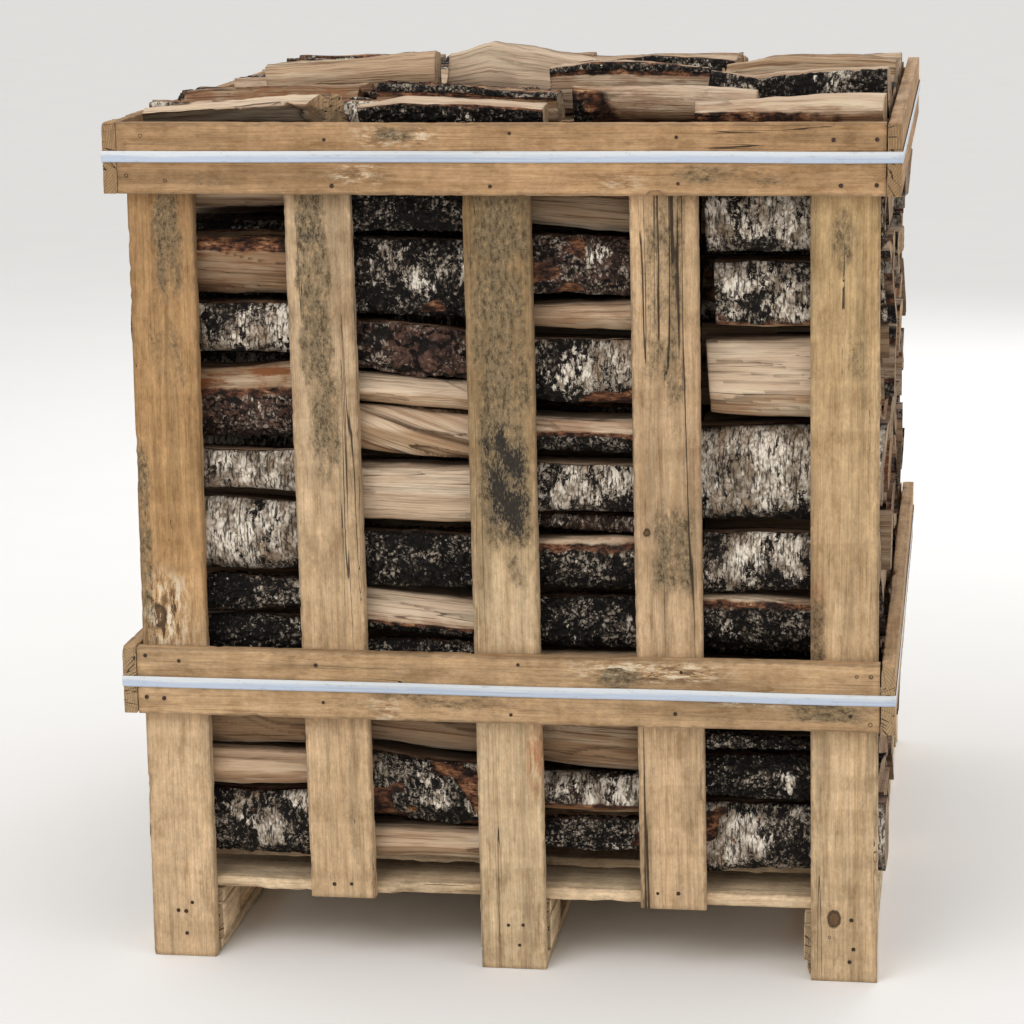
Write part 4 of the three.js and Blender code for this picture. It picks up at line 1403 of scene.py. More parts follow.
# %% Stack builder
MM = 0.001
FACE = 0.0018
STACK_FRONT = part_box("log_stack_1")[0].y
STACK_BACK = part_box("log_stack_1")[1].y
DECK_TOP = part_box("log_stack_1")[0].z
loose_boxes = [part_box(f"top_log_{i:02d}") for i in range(1, 13)]
frame_heights = [
    (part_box(name)[0].z - 0.012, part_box(name)[1].z + 0.012)
    for name in ("lower_frame_front", "top_frame_front")
]
# Where each stack shows between two slats, along X.
SLAT_GAPS = {1: (-0.40, -0.285), 2: (-0.195, -0.049), 3: (0.041, 0.169), 4: (0.259, 0.403)}
BACK_LAYERS, BACK_TOP = 13, 1.128
# Rows along a log, points round it, the direction it is seen from and the rings of its ends.
BACK_DETAIL = (38, 52, 0.0, (0.03, 0.4))
OUTER_DETAIL = (6, 34, None, (0.035, 0.4))
HIDDEN_DETAIL = (2, 12, None, (0.2,))
# How far out the circle may lie, as a share of the way to the outline, at a side and a corner.
SIDE_SHARE, CORNER_SHARE = 0.99, 0.86


def split_circle(polygon, bottom, top, look):
    """The trunk's circle that meets the front at the end of the barked share and the foot (or
    the top) of the section further back. Its middle is no lower than the first point, or the
    circle would meet the front twice."""
    height, depth = top - bottom, polygon[:, 0].max() - polygon[:, 0].min()
    share, above = look["split"], math.sin(math.radians(look["turn"])) > 0
    edge_z = top - share * height if above else bottom + share * height
    front = polygon[[0, 4, 3]]
    edge = np.array([np.interp(edge_z, front[:, 1], front[:, 0]), edge_z])
    foot = np.array([edge[0] + (0.72 - 0.42 * share) * depth, top if above else bottom])
    chord = foot - edge
    length = float(np.hypot(*chord))
    inward = np.array([abs(chord[1]), chord[0] * (-1 if above else 1)]) / length
    wanted = math.sqrt(max((look["radius"] * height) ** 2 - length**2 / 4, 0))
    reach = max(share * height * length / (2 * chord[0]), wanted, 0.5 * depth)
    pith = (edge + foot) / 2 + inward * reach
    return pith, math.hypot(reach, length / 2)


def log_section(low_y, high_y, bottom, top, look, rng, lean=0.0):
    """A cell's polygon, its pith and the trunk's radius. The polygon is the cell with shaken
    corners and a ridge in its front. The circle touches the cell's outline on the side that
    the bark faces, so the pith lies the radius back from there: pith = centre + toward *
    (distance to the outline - radius). Where bark and wood share the front, split_circle
    places the circle. lean moves the upper corners back."""
    wobble = rng.uniform(-1, 1, 8) * min(0.007, 0.08 * (top - bottom))
    crest = bottom + look["crest"] * (top - bottom)
    ridge = min(look["ridge"], 0.3 * (high_y - low_y)) + 0.0004
    foot_in = head_in = ridge
    above = math.sin(math.radians(look["turn"])) > 0
    if look["split"]:
        recede = max(0.008, look["recede"] * (1 - look["split"]) * (top - bottom))
        crest = top - look["split"] * (top - bottom) if above else bottom + look["split"] * (top - bottom)
        foot_in, head_in = (recede, ridge) if above else (ridge, recede)
    polygon = np.array([
        [low_y + foot_in + wobble[0] * 0.3, bottom + abs(wobble[1])],
        [high_y - abs(wobble[2]), bottom + abs(wobble[3])],
        [high_y + lean - abs(wobble[4]), top - abs(wobble[5])],
        [low_y + head_in + lean + wobble[6] * 0.3, top - abs(wobble[7])],
        [low_y + lean * look["crest"], crest],
    ])
    if look["split"]:
        return polygon, *split_circle(polygon, bottom, top, look)
    centre = np.array([(low_y + high_y + lean) / 2, (bottom + top) / 2])
    angle = math.radians(look["turn"])
    toward = np.array([math.cos(angle), math.sin(angle)])
    half = np.array([(high_y - low_y) / 2, (top - bottom) / 2])
    edge = 1 / max(abs(toward[0]) / half[0], abs(toward[1]) / half[1])
    outline_share = SIDE_SHARE if abs(math.sin(2 * angle)) < 0.5 else CORNER_SHARE
    radius = look["radius"] * (top - bottom)
    pith = centre + toward * (edge * outline_share - radius)
    return polygon, pith, radius


def half_logs(low_y, high_y, bottom, top, rng):
    """Two halves of a round, their flat sides together along a diagonal of the cell: for each,
    the triangle, the middle of the cut as its pith, and a radius a little under half the cut,
    which rounds the triangle's corners with bark."""
    corners = np.array([(low_y, bottom), (high_y, bottom), (high_y, top), (low_y, top)])
    start = int(rng.integers(0, 2))
    cut = corners[[start, start + 2]]
    pith = cut.mean(0)
    for first in (start, start + 2):
        triangle = corners[[first % 4, (first + 1) % 4, (first + 2) % 4]]
        triangle = triangle + (triangle.mean(0) - triangle) * 0.04
        yield triangle, pith, 0.5 * float(np.hypot(*(cut[1] - cut[0]))) * rng.uniform(0.82, 0.94)

# %% [markdown]
# ## Chance, and where a log begins
# A generator with a fixed seed draws the looks, so the stacks come out the same each run.
# The ends of the outer stacks stand out between the frames and draw back behind them.

# %% Random looks and places
def random_kind(rng):
    """A kind drawn by its share, turned any way, with its values shaken a little."""
    names = list(KIND_SHARES)
    shares = np.array([KIND_SHARES[name] for name in names], float)
    look = dict(KINDS[names[rng.choice(len(names), p=shares / shares.sum())]])
    look["turn"] = rng.uniform(0, 360)
    look["split"] = None
    look["radius"] = rng.choice([0.58, 0.8, 1.05, 1.3, 1.6]) * rng.uniform(0.95, 1.1)
    look["white"] = float(np.clip(look["white"] + rng.normal(0, 0.12), 0, 1))
    look["tone"] = float(np.clip(look["tone"] + rng.normal(0, 0.12), 0, 1))
    look["ridge"] = rng.choice([0.0, 0.008, 0.022, 0.034])
    look["crest"] = rng.uniform(0.15, 0.85)
    look["taper"] = rng.uniform(-0.12, 0.12)
    return look


def layer_levels(rng, bottom, top, count):
    """Uneven levels from bottom to top: random shares of the height, added up."""
    shares = rng.uniform(0.65, 1.35, count)
    return bottom + (top - bottom) * np.concatenate([[0], np.cumsum(shares) / shares.sum()])


def gap_rows(span, gap, fine=0.0027, coarse=0.012):
    """Places along a front log, close together where the gap between the slats shows it."""
    low, high = max(gap[0] - 0.022, span[0]), min(gap[1] + 0.022, span[1])
    pieces = [np.arange(span[0], low, coarse), np.arange(low, high, fine)]
    pieces += [np.arange(high, span[1] - 0.004, coarse), [span[1]]]
    places = np.unique(np.concatenate(pieces))
    keep = np.concatenate([[True], np.diff(places) > 0.001])
    return (places[keep] - span[0]) / (span[1] - span[0])


def log_span(column, middle_z, rng, start=0.0):
    """Where a log begins and ends along X. The outer ends stand out between the frames and
    draw back behind them."""
    low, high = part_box(f"log_stack_{column}")[0].x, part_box(f"log_stack_{column}")[1].x
    behind_frame = any(bottom - 0.05 < middle_z < top + 0.05 for bottom, top in frame_heights)
    outward = rng.uniform(-0.014, -0.004) if behind_frame else rng.uniform(-0.012, 0.010)
    low_end = low - outward if column == 1 else low + rng.uniform(0.001, 0.008) + start
    high_end = high + outward if column == 4 else high - rng.uniform(0.001, 0.008)
    return low_end, high_end


def build_front(column):
    """The listed front logs of one stack, as one piece."""
    rng = np.random.default_rng(700 + column)
    parts = MeshParts()
    backs = []
    for order, (top, bottom, kind_name, changes) in enumerate(FRONT_LOGS[column]):
        look = {**KINDS[kind_name], **changes}
        top, bottom = top * MM, bottom * MM
        depth = rng.uniform(0.082, 0.112)
        front = STACK_FRONT + 0.004 + look["inset"] + (0.02 if order == 0 else 0.0)
        backs.append(front + depth)
        polygon, pith, radius = log_section(front, front + depth, bottom + FACE, top - FACE, look, rng)
        span = log_span(column, (top + bottom) / 2, rng, changes.get("start", 0.0))
        body = gap_rows(span, SLAT_GAPS[column])
        slope = changes.get("slope", rng.uniform(-0.04, 0.04))
        look["taper"] = changes.get("taper", rng.uniform(-0.12, 0.12))
        lean = (rng.uniform(-0.01, 0.01), slope * 0.6)
        seed = column * 20 + order + 0.37
        add_log(parts, polygon, pith, radius, span, look, seed, body, 74, math.pi, lean)
    parts.build(f"front_logs_{column}", stack_birch, "birch_stack", [f"log_stack_{column}"])
    return backs

# %% [markdown]
# ## Behind and above the front
# What nobody can see needs few faces. So the logs at the back and on top get fine rows,
# those at the open sides get good ends, and the inner ones are coarse.

# %% Back, inner and upper logs
def top_steps(column):
    """Stretches of Y along the top of a stack, each with its height: lower under loose logs."""
    low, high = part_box(f"log_stack_{column}")
    over = [(a.y - 0.003, b.y + 0.003) for a, b in loose_boxes if a.x < high.x and b.x > low.x]
    edges = sorted(
        {STACK_FRONT, STACK_BACK, *(min(max(e, STACK_FRONT), STACK_BACK) for pair in over for e in pair)}
    )
    steps = []
    for start, end in zip(edges, edges[1:]):
        covered = any(a <= (start + end) / 2 <= b for a, b in over)
        if end - start > 0.004:
            steps.append((start, end, min(a.z for a, b in loose_boxes) if covered else high.z))
    return steps


def build_stack(column, backs):
    """Everything behind the front logs of one stack, in pieces by where it is seen from."""
    rng = np.random.default_rng(40 + column)
    rest, back, top_layer = MeshParts(), MeshParts(), MeshParts()
    logs = FRONT_LOGS[column]
    count = len(logs)
    front_levels = np.concatenate(
        [[logs[-1][1]], [(logs[i][0] + logs[i - 1][1]) / 2 for i in range(count - 1, 0, -1)], [logs[0][0]]]
    ) * MM
    back_levels = layer_levels(rng, DECK_TOP + 0.001, BACK_TOP, BACK_LAYERS)
    spread = np.linspace(0, 1, count + 1) * BACK_LAYERS
    back_matched = np.interp(spread, np.arange(BACK_LAYERS + 1), back_levels)
    outer = column in (1, 4)
    seed = column * 300.0
    for layer in range(count - 1):
        y = backs[count - 1 - layer]
        while y < STACK_BACK - 0.05:
            width = rng.uniform(0.074, 0.128)
            end = y + width
            if STACK_BACK - end < 0.055:
                end = STACK_BACK - rng.uniform(0.001, 0.006)
            at_back = end > STACK_BACK - 0.02
            share = smooth_step(0, 1, (0.5 * (y + end) - STACK_FRONT) / (STACK_BACK - STACK_FRONT))
            levels = front_levels + (back_matched - front_levels) * share
            bottom, top = levels[layer], levels[layer + 1]
            look = random_kind(rng)
            if at_back:
                look["turn"] = rng.choice([0, 0, 10, -12, 80, 200, 300]) + rng.uniform(-10, 10)
                look["radius"] = rng.uniform(0.58, 0.95)
            halves = [(bottom, top)]
            if top - bottom > 0.098 and rng.random() < 0.6:
                cut = bottom + (top - bottom) * rng.uniform(0.42, 0.58)
                halves = [(bottom, cut), (cut, top)]
            for low_z, high_z in halves:
                seed += 1.0
                if high_z - low_z < 0.02:
                    continue
                cell = (y + FACE, end - FACE, low_z + FACE, high_z - FACE)
                slant = 0.0 if at_back else rng.uniform(-0.007, 0.007)
                sections = [log_section(*cell, look, rng, slant)]
                square = 0.6 < (high_z - low_z) / (end - y) < 1.5
                if square and high_z - low_z > 0.06 and not at_back and rng.random() < 0.35:
                    sections = half_logs(*cell, rng)
                lean = (rng.uniform(-0.02, 0.02), rng.uniform(-0.02, 0.02))
                detail = BACK_DETAIL if at_back else OUTER_DETAIL if outer else HIDDEN_DETAIL
                rows, around, seen, caps = detail
                for polygon, pith, radius in sections:
                    seed += 0.5
                    span = log_span(column, (low_z + high_z) / 2, rng)
                    body = np.linspace(0, 1, rows)
                    target = back if at_back else rest
                    add_log(target, polygon, pith, radius, span, look, seed, body, around, seen, lean, caps)
            y = end
    for start, end, height in top_steps(column):
        pieces = max(1, round((end - start) / 0.10))
        edges = np.linspace(start, end, pieces + 1)
        for y, stop in zip(edges, edges[1:]):
            seed += 1.0
            share = smooth_step(0, 1, (0.5 * (y + stop) - STACK_FRONT) / (STACK_BACK - STACK_FRONT))
            bottom = (front_levels + (back_matched - front_levels) * share)[count - 1]
            look = random_kind(rng)
            look["turn"] = rng.uniform(30, 150)
            look["radius"] = rng.uniform(0.8, 1.3)
            if stop - y < 0.02 or height - bottom < 0.018:
                continue
            polygon, pith, radius = log_section(
                y + FACE, stop - FACE, bottom + FACE, height - rng.uniform(0.002, 0.008), look, rng
            )
            span = log_span(column, 1.1, rng)
            add_log(
                top_layer, polygon, pith, radius, span, look, seed, np.linspace(0, 1, 26), 40, math.pi / 2
            )
    for parts, label in ((rest, "inner_logs"), (back, "back_logs"), (top_layer, "upper_logs")):
        parts.build(f"{label}_{column}", stack_birch, "birch_stack", [f"log_stack_{column}"])


for column in (1, 2, 3, 4):
    build_stack(column, build_front(column))

# %% [markdown]
# ## The loose logs on top
# Twelve logs lie loose on the stacks, above the top frame's edge, where the light is
# best. Each is its own piece with its own section inside its solid's box.

# %% Loose logs
LOOSE_LOGS = {
    1: dict(
        kind="tan", turn=0, tone=0.0, face=0.70, torn=1.7, ridge=0.022, crest=0.76, cut=0.40,
        rise=(0.70, 0.78, 0.87, 0.96, 1.0),
    ),
    2: dict(
        kind="edged", split=0.82, recede=2.2, tone=0.02, white=0.12, torn=0.4, peel=0.0,
        rise=(0.88, 1.1, 1.0, 0.9, 0.82),
    ),
    3: dict(
        kind="edged", split=0.86, recede=0.5, tone=0.0, white=0.0, torn=0.5, peel=0.0, fade=0.022,
        rise=(1.0, 0.98, 0.95, 0.9, 0.86),
    ),
    4: dict(
        kind="edged", split=0.60, recede=0.9, tone=0.06, white=0.2, torn=0.6, peel=0.8, fade=0.008,
        rise=(0.86, 0.90, 0.95, 1.0, 1.0),
    ),
    5: dict(
        kind="brown", turn=0, tone=0.56, torn=1.2, stain=0.8, ridge=0.012, rise=(0.86, 0.90, 0.95, 1.0, 0.98)
    ),
    6: dict(
        kind="edged", turn=90, split=0.20, recede=0.1, tone=0.42, torn=0.8, white=0.1, peel=0.2,
        rise=(1.0, 0.97, 0.92, 0.85, 0.78),
    ),
    7: dict(
        kind="edged", split=0.14, turn=90, recede=0.1, tone=0.05, white=0.1, torn=0.6, peel=0.2,
        rise=(0.92, 1.0, 0.98, 0.96, 0.92),
    ),
    8: dict(kind="mottled", turn=165, radius=0.9, white=0.30, rise=(0.96, 0.82, 0.90, 0.98, 1.0)),
    9: dict(
        kind="tan", turn=0, tone=0.20, torn=0.8, ridge=0.010, crest=0.7, rise=(0.78, 0.84, 0.90, 0.96, 1.0)
    ),
    10: dict(
        kind="cream", turn=0, tone=0.02, torn=0.3, ridge=0.016, crest=0.2, rise=(0.78, 1.0, 0.88, 0.74, 0.62)
    ),
    11: dict(kind="dark", turn=150, peel=0.3, radius=0.9, white=0.2, rise=(0.8, 0.92, 1.0, 0.95, 0.85)),
    12: dict(kind="grey", turn=0, tone=0.36, torn=0.6, rise=(0.84, 0.96, 1.0, 1.0, 0.94)),
}


def build_loose_log(number):
    """A loose log in its solid's box, with a section like those in the stacks. The height above
    the foot is then multiplied along the log by the share that its rise gives, bent by a
    little noise. The upper corner at the back is drawn in by 0.18 of the depth."""
    low, high = loose_boxes[number - 1]
    rng = np.random.default_rng(500 + number)
    values = dict(LOOSE_LOGS[number])
    rise = values.pop("rise")
    look = {**KINDS[values.pop("kind")], **values}
    polygon, pith, radius = log_section(
        low.y + 0.001, high.y - 0.002, low.z + 0.001, high.z - 0.002, look, rng
    )
    polygon[2, 0] -= 0.18 * (high.y - low.y)
    parts = MeshParts()
    span = (low.x + 0.003, high.x - 0.003)
    body = np.linspace(0, 1, 64)
    add_log(
        parts, polygon, pith, radius, span, look, 900 + number * 1.7, body, 72, math.radians(125),
        caps=(0.025, 0.2, 0.6),
    )
    points = parts.points[0]
    place = (points[:, 0] - low.x) / (high.x - low.x)
    share = np.interp(place, np.linspace(0, 1, len(rise)), rise) + 0.025 * rough_noise(place * 9, number, 0.5)
    points[:, 2] = low.z + (points[:, 2] - low.z) * np.clip(share, 0.3, 1.12)
    parts.build(f"loose_log_{number:02d}", loose_birch, "birch_log", [f"top_log_{number:02d}"])


for number in range(1, 13):
    build_loose_log(number)

# %% [markdown]
# ## Bark chips
# Handling knocks bark off, and the chips stay where they fall between the loose logs. A
# chip is a very small, flat log of dark bark, so the same function makes it.

# %% Bark chips
def build_chips():
    """Chips lying and leaning in the space between two rows of loose logs."""
    rng = np.random.default_rng(77)
    left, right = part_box("top_log_05")[1].x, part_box("top_log_06")[0].x
    near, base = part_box("top_log_06")[0].y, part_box("top_log_06")[0].z
    parts = MeshParts()
    for i in range(9):
        # These chips get no painted shade.
        look = dict(random_kind(rng), white=0.25, peel=0.5, rough=1.0, grime=0.0)
        x = rng.uniform(left - 0.006, right + 0.012)
        y, z = rng.uniform(near - 0.012, near + 0.04), base + rng.uniform(0.006, 0.046)
        width, height = rng.uniform(0.012, 0.026), rng.uniform(0.006, 0.013)
        polygon = np.array(
            [(y, z), (y + width, z + 0.002), (y + 0.8 * width, z + height), (y + 0.1 * width, z + height)]
        )
        pith = (y + width / 2, z - 0.02)
        half = rng.uniform(0.010, 0.018)
        span, body = (x - half, x + half), np.linspace(0, 1, 7)
        add_log(parts, polygon, pith, 0.02 + height, span, look, 1200 + i, body, 16, None, caps=(0.3,))
    parts.build("bark_chips", loose_birch, "birch_log")


build_chips()

# %% [markdown]
# ## The plastic bands
# A band is an embossed strip of white plastic, pulled tight round a frame and welded to
# itself where its ends lap. It is one flat outline carried round a rounded rectangle, so
# its faces form a ring with no ends. The embossing is real relief on the outer face: two
# crossing waves make the small diamonds that stiffen such a strip.

# %% Band material
def build_band_material():
    """Milky plastic: a whiter upper edge, a bluish middle, darker low places in the embossing,
    dust and a few scuffs along its length. Reads along, across and relief from the mesh."""
    material, tree, output = new_material("banding_plastic")
    parts = node(tree, "ShaderNodeSeparateXYZ", Vector=attribute(tree, "band").outputs["Vector"])
    along, across, relief = parts.outputs[0], parts.outputs[1], parts.outputs[2]
    place = node(tree, "ShaderNodeCombineXYZ", X=along, Y=times(tree, across, 0.016))
    cloud = noise_at(tree, place.outputs[0], (9.0, 60.0, 1.0), 3.0)
    drift = plus(tree, across, times(tree, minus(tree, cloud, 0.5), 0.5))
    colour = blend(tree, step_between(tree, drift, 0.45, 0.72), (0.49, 0.56, 0.68, 1), (0.69, 0.72, 0.75, 1))
    # Darker where the embossing is low.
    colour = tinted(tree, step_between(tree, relief, 0.6, 0.1, 0.0, 0.5), colour, (0.72, 0.72, 0.70))
    scuffs = noise_at(tree, place.outputs[0], (14.0, 900.0, 1.0), 3.0, 0.7)
    colour = blend(tree, step_between(tree, scuffs, 0.58, 0.66, 0.0, 0.5), colour, (0.80, 0.81, 0.80, 1))
    dust = noise_at(tree, place.outputs[0], (60.0, 160.0, 1.0), 4.0, 0.75)
    colour = blend(tree, step_between(tree, dust, 0.56, 0.68, 0.0, 0.4), colour, (0.36, 0.31, 0.25, 1))
    height = plus(tree, times(tree, scuffs, 0.6), times(tree, dust, 0.3))
    gloss = step_between(tree, dust, 0.40, 0.66, 0.30, 0.62)
    finish_material(tree, output, colour, gloss, height, 0.4, 0.0006)
    return material


banding = build_band_material()

# %% Bands
BAND_THICKNESS = 0.0008
BAND_COLUMNS = 10
BAND_CORNER = 0.0028
EMBOSSING = 0.00015


def ring_path(low, high, corner, spacing):
    """Points and outward directions round a rectangle with rounded corners, evenly walked,
    and the distance walked to each."""
    half = np.array([(high.x - low.x) / 2, (high.y - low.y) / 2])
    path = rounded_rectangle(half[0], half[1], corner, spacing)
    after = np.roll(path, -1, 0) - path
    tangent = after / np.hypot(*after.T)[:, None]
    tangent = tangent + np.roll(tangent, 1, 0)
    outward = np.stack([tangent[:, 1], -tangent[:, 0]], -1) / np.hypot(*tangent.T)[:, None]
    walked = np.concatenate([[0], np.cumsum(np.hypot(*after.T))[:-1]])
    middle = np.array([(low.x + high.x) / 2, (low.y + high.y) / 2])
    return path + middle, outward, walked


def build_band(name, replaced, seed):
    """A band in the place of its plain ring. Table rows run round the frame and columns round
    the strip's own outline: up its outer face and down its inner one. The outer face dips by
    up to 0.3 mm between the diamonds, the strip wanders by half a millimetre up and down, and
    where its ends lap, it is twice as thick."""
    low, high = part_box(replaced)
    width, middle_z = high.z - low.z, (low.z + high.z) / 2
    path, outward, walked = ring_path(low, high, BAND_CORNER, 0.006)
    across = np.linspace(-1, 1, BAND_COLUMNS)
    across = np.concatenate([across, across[::-1]])
    outer = np.concatenate([np.ones(BAND_COLUMNS), np.zeros(BAND_COLUMNS)])
    wander = 0.0005 * noise(walked * 5, seed)[:, None]
    z = middle_z + across[None] * (width / 2 - 0.0006) + wander
    diamonds = np.sin(walked[:, None] * 520 + across * 5.2) * np.sin(walked[:, None] * 520 - across * 5.2)
    lap_start = 0.5 * walked[-1] + 0.35 * (high.x - low.x)
    lap = smooth_step(lap_start, lap_start + 0.004, walked)
    lap = lap * smooth_step(lap_start + 0.112, lap_start + 0.108, walked)
    raised = EMBOSSING * diamonds - EMBOSSING + BAND_THICKNESS * lap[:, None]
    out = outer * raised - (1 - outer) * BAND_THICKNESS
    edge = smooth_step(0.86, 1.0, np.abs(across)) * 0.00025
    out = out - (2 * outer - 1) * edge
    points = path[:, None] + outward[:, None] * out[..., None]
    table = np.concatenate([points, z[..., None]], -1).reshape(-1, 3)
    known = np.stack(
        [walked[:, None] + 0 * z, (across + 1) / 2 + 0 * z, 0.5 + 0.5 * diamonds], -1
    ).reshape(-1, 3)
    rows, columns = z.shape
    r, c = np.arange(rows)[:, None], np.arange(columns)[None]
    after, beside = (r + 1) % rows, (c + 1) % columns
    quads = np.stack(
        [r * columns + c, after * columns + c, after * columns + beside, r * columns + beside], -1
    )
    parts = MeshParts()
    parts.add(table, quads.reshape(-1, 4), np.zeros((0, 3), int), band=known)
    return parts.build(name, banding, "strap_plastic", [replaced])


build_band("band_lower", "strap_lower", 3.0)
build_band("band_top", "strap_top", 8.0)

# %% [markdown]
# ## Nails
# Each nail was driven by a gun, so its head sits a little under the surface in a dark
# pressed ring. There are many, so one head is only a shallow dish of a few dozen faces,
# copied by array arithmetic. Two hold every slat to each frame board, two hold each end of
# a frame board, and a few hold each slat's foot to the pallet.

# %% Nails
NAIL_RADIUS = 0.0026
HEAD_RINGS = ((0.0, 0.55), (0.62, 0.45), (0.80, 0.95), (1.0, 0.70), (1.0, -1.5))
FOOT_NAILS = {
    1: [(12, 78), (-8, 66), (3, 65), (3, 33)],
    2: [(-12, 19), (12, 20)],
    3: [(-8, 62), (12, 63), (7, 34)],
    4: [(-22, 22), (6, 23)],
    5: [(9, 87), (-20, 62), (12, 46), (7, 28)],
}


def nail_heads(places, outward, rng):
    """All the heads of one face. A head is rings of points about its axis, each with a radius
    and a height: a flat disc, a groove round it, a rim and a short wall into the wood."""
    places = np.asarray(places, float)
    sides = 10
    turn = np.arange(sides) * 2 * np.pi / sides
    along = np.array(outward, float)
    first = np.array([0.0, 0.0, 1.0])
    second = np.cross(along, first)
    rings = np.array(HEAD_RINGS[1:])
    circle = np.cos(turn)[:, None] * first + np.sin(turn)[:, None] * second
    shape = rings[:, 0, None, None] * NAIL_RADIUS * circle[None] + rings[:, 1, None, None] * 0.001 * along
    top, bottom = along * HEAD_RINGS[0][1] * 0.001, along * HEAD_RINGS[-1][1] * 0.001
    head = np.concatenate([top[None], shape.reshape(-1, 3), bottom[None]])
    sizes = rng.uniform(0.85, 1.15, len(places))
    points = places[:, None] + head[None] * sizes[:, None, None]
    quads, triangles = tube_faces(len(rings), sides)
    if np.dot(np.cross(first, second), along) > 0:
        quads, triangles = quads[:, ::-1], triangles[:, ::-1]
    steps = np.arange(len(places))[:, None, None] * len(head)
    return points.reshape(-1, 3), (quads[None] + steps).reshape(-1, 4), (
        triangles[None] + steps
    ).reshape(-1, 3)


def face_nails(side):
    """Where the nails of the front or the back go, just under the boards' faces."""
    rng = np.random.default_rng(12 if side == "front" else 13)
    sign = -1 if side == "front" else 1
    places = []
    for level_name in ("lower_frame", "top_frame"):
        low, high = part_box(f"{level_name}_{side}")
        face = (low.y if sign < 0 else high.y) - sign * 0.0012
        middle_z = (low.z + high.z) / 2
        spots = [(low.x + 0.012, 0.0), (high.x - 0.012, 0.0)]
        spots += [
            ((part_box(f"slat_{side}_{i}")[0].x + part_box(f"slat_{side}_{i}")[1].x) / 2, 0.020)
            for i in range(1, 6)
        ]
        for x, spread in spots:
            for row, shift in ((1, rng.choice([-1, 1])), (-1, rng.choice([-1, 1]))):
                z = middle_z + row * rng.uniform(0.020, 0.036)
                places.append((x + shift * spread * rng.uniform(0.4, 1.0), face, z))
    for i, spots in FOOT_NAILS.items():
        low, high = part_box(f"slat_{side}_{i}")
        face = (low.y if sign < 0 else high.y) - sign * 0.0012
        vertices = np.array([v.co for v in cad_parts[f"slat_{side}_{i}"].data.vertices])
        foot = vertices[vertices[:, 2] < low.z + 1e-4][:, 0]
        for across, up in spots:
            places.append(((foot.min() + foot.max()) / 2 + across * MM, face, low.z + up * MM))
    return nail_heads(places, (0, sign, 0), rng)


def build_nail_material():
    """Steel gone dark with rust, in specks."""
    material, tree, output = new_material("rusted_nail")
    place = node(tree, "ShaderNodeTexCoord").outputs["Object"]
    rust = noise_at(tree, place, (900.0,) * 3, 4.0, 0.7)
    colour = blend(
        tree, step_between(tree, rust, 0.42, 0.60), (0.020, 0.016, 0.014, 1), (0.085, 0.040, 0.022, 1)
    )
    metal = step_between(tree, rust, 0.42, 0.56, 0.8, 0.0)
    rough = step_between(tree, rust, 0.40, 0.62, 0.45, 0.85)
    finish_material(tree, output, colour, rough, rust, 0.4, 0.0003, Metallic=metal)
    return material


nails = MeshParts()
for side in ("front", "back"):
    nails.add(*face_nails(side))
nails.build("nails", build_nail_material(), "nail_steel")

# %% [markdown]
# ## Light and floor
# Broad soft lamps and a pale sky give the even light of a studio: a strong one high in
# front, a weaker one on each side, and a strong one behind so that the back isn't flat black.

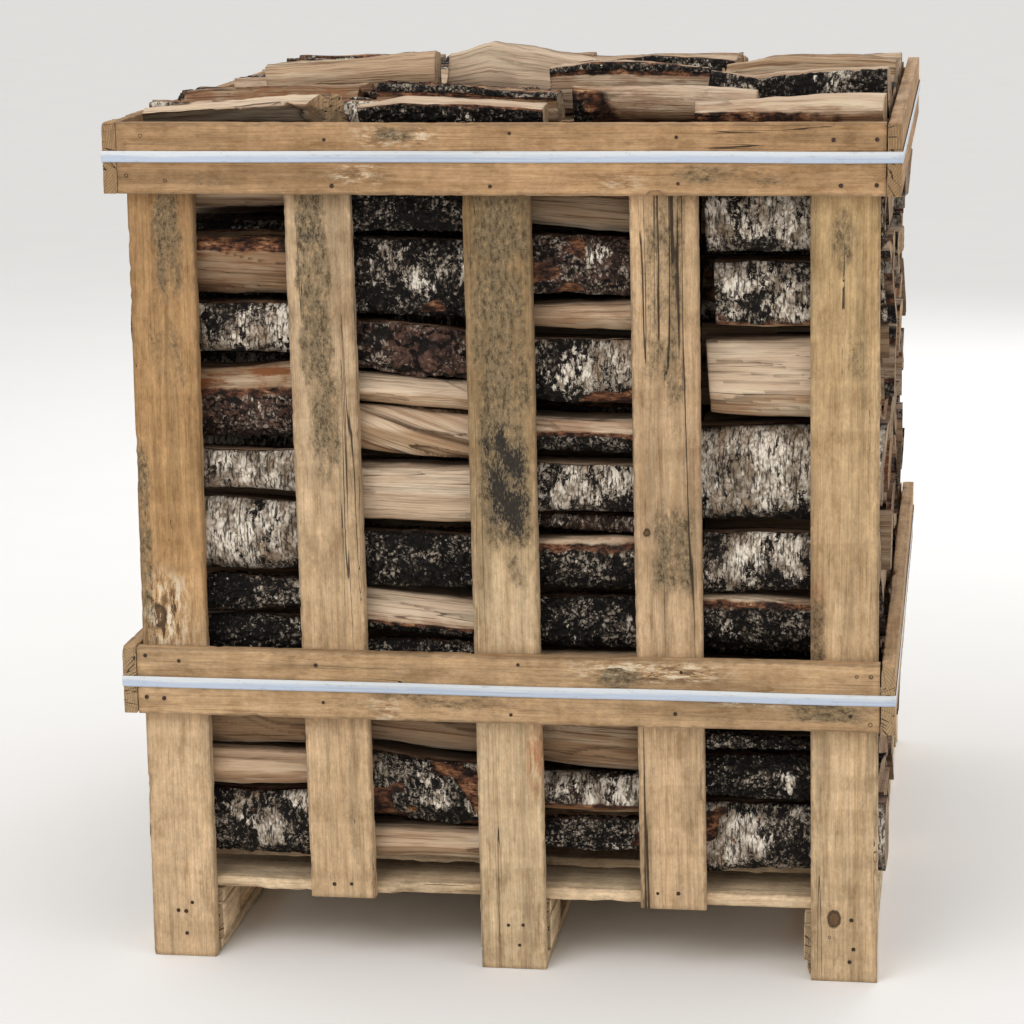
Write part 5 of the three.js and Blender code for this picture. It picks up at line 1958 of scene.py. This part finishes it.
# %% Floor, lamps and sky
def build_floor():
    """A sheet so wide that its edge is never seen, at the level of the lowest point, rippled
    by less than a tenth of a millimetre. Its grid is finer near the crate: the distance is a
    cubed even step."""
    steps = 90 * np.linspace(-1, 1, 25) ** 3
    gx, gy = np.meshgrid(steps, steps, indexing="ij")
    gz = -0.0002 + 0.00008 * noise(gx, gy, 4.0)
    points = np.stack([gx, gy, gz], -1).reshape(-1, 3)
    corner = (np.arange(24)[:, None] * 25 + np.arange(24)[None]).ravel()
    faces = np.stack([corner, corner + 25, corner + 26, corner + 1], -1)
    mesh = bpy.data.meshes.new("studio_floor")
    mesh.from_pydata(points.tolist(), [], faces.tolist())
    material, tree, output = new_material("studio_floor")
    place = node(tree, "ShaderNodeTexCoord").outputs["Object"]
    shade = blend(tree, noise_at(tree, place, (3.0,) * 3, 2.0), (0.93, 0.93, 0.93, 1), (0.96, 0.96, 0.955, 1))
    finish_material(tree, output, shade, 0.9)
    mesh.materials.append(material)
    floor = bpy.data.objects.new("studio_floor", mesh)
    bpy.context.scene.collection.objects.link(floor)


def add_lamp(name, place, target, size, watts):
    """A square area lamp at a place, turned to face a target."""
    lamp = bpy.data.lights.new(name, "AREA")
    lamp.size = size
    lamp.energy = watts
    made = bpy.data.objects.new(name, lamp)
    bpy.context.scene.collection.objects.link(made)
    toward = np.array(target) - np.array(place)
    yaw = math.atan2(-toward[0], toward[1])
    pitch = math.atan2(toward[2], math.hypot(toward[0], toward[1]))
    turn = Matrix.Rotation(yaw, 4, "Z") @ Matrix.Rotation(pitch, 4, "X") @ Matrix.Rotation(
        math.radians(90), 4, "X"
    )
    made.matrix_world = Matrix.Translation(place) @ turn


build_floor()
crate_middle = tuple((low + high) / 2 for low, high in zip(cad_low, cad_high))
add_lamp("key_lamp", (-1.6, -3.6, 3.6), crate_middle, 2.6, 60)
add_lamp("fill_lamp", (3.4, -2.2, 2.4), crate_middle, 2.6, 14)
add_lamp("left_lamp", (-4.0, 0.6, 2.4), crate_middle, 2.6, 14)
add_lamp("back_lamp", (1.2, 4.2, 3.0), crate_middle, 2.6, 60)
sky = bpy.data.worlds.new("studio_sky")
sky.use_nodes = True
backdrop = sky.node_tree.nodes["Background"]
backdrop.inputs[0].default_value = (1.0, 0.985, 0.96, 1)
to_camera = node(sky.node_tree, "ShaderNodeLightPath").outputs["Is Camera Ray"]
sky.node_tree.links.new(step_between(sky.node_tree, to_camera, 0.0, 1.0, 0.78, 1.0), backdrop.inputs[1])
bpy.context.scene.world = sky
bpy.context.scene.view_settings.view_transform = "Standard"
print("lamps", len(bpy.data.lights))
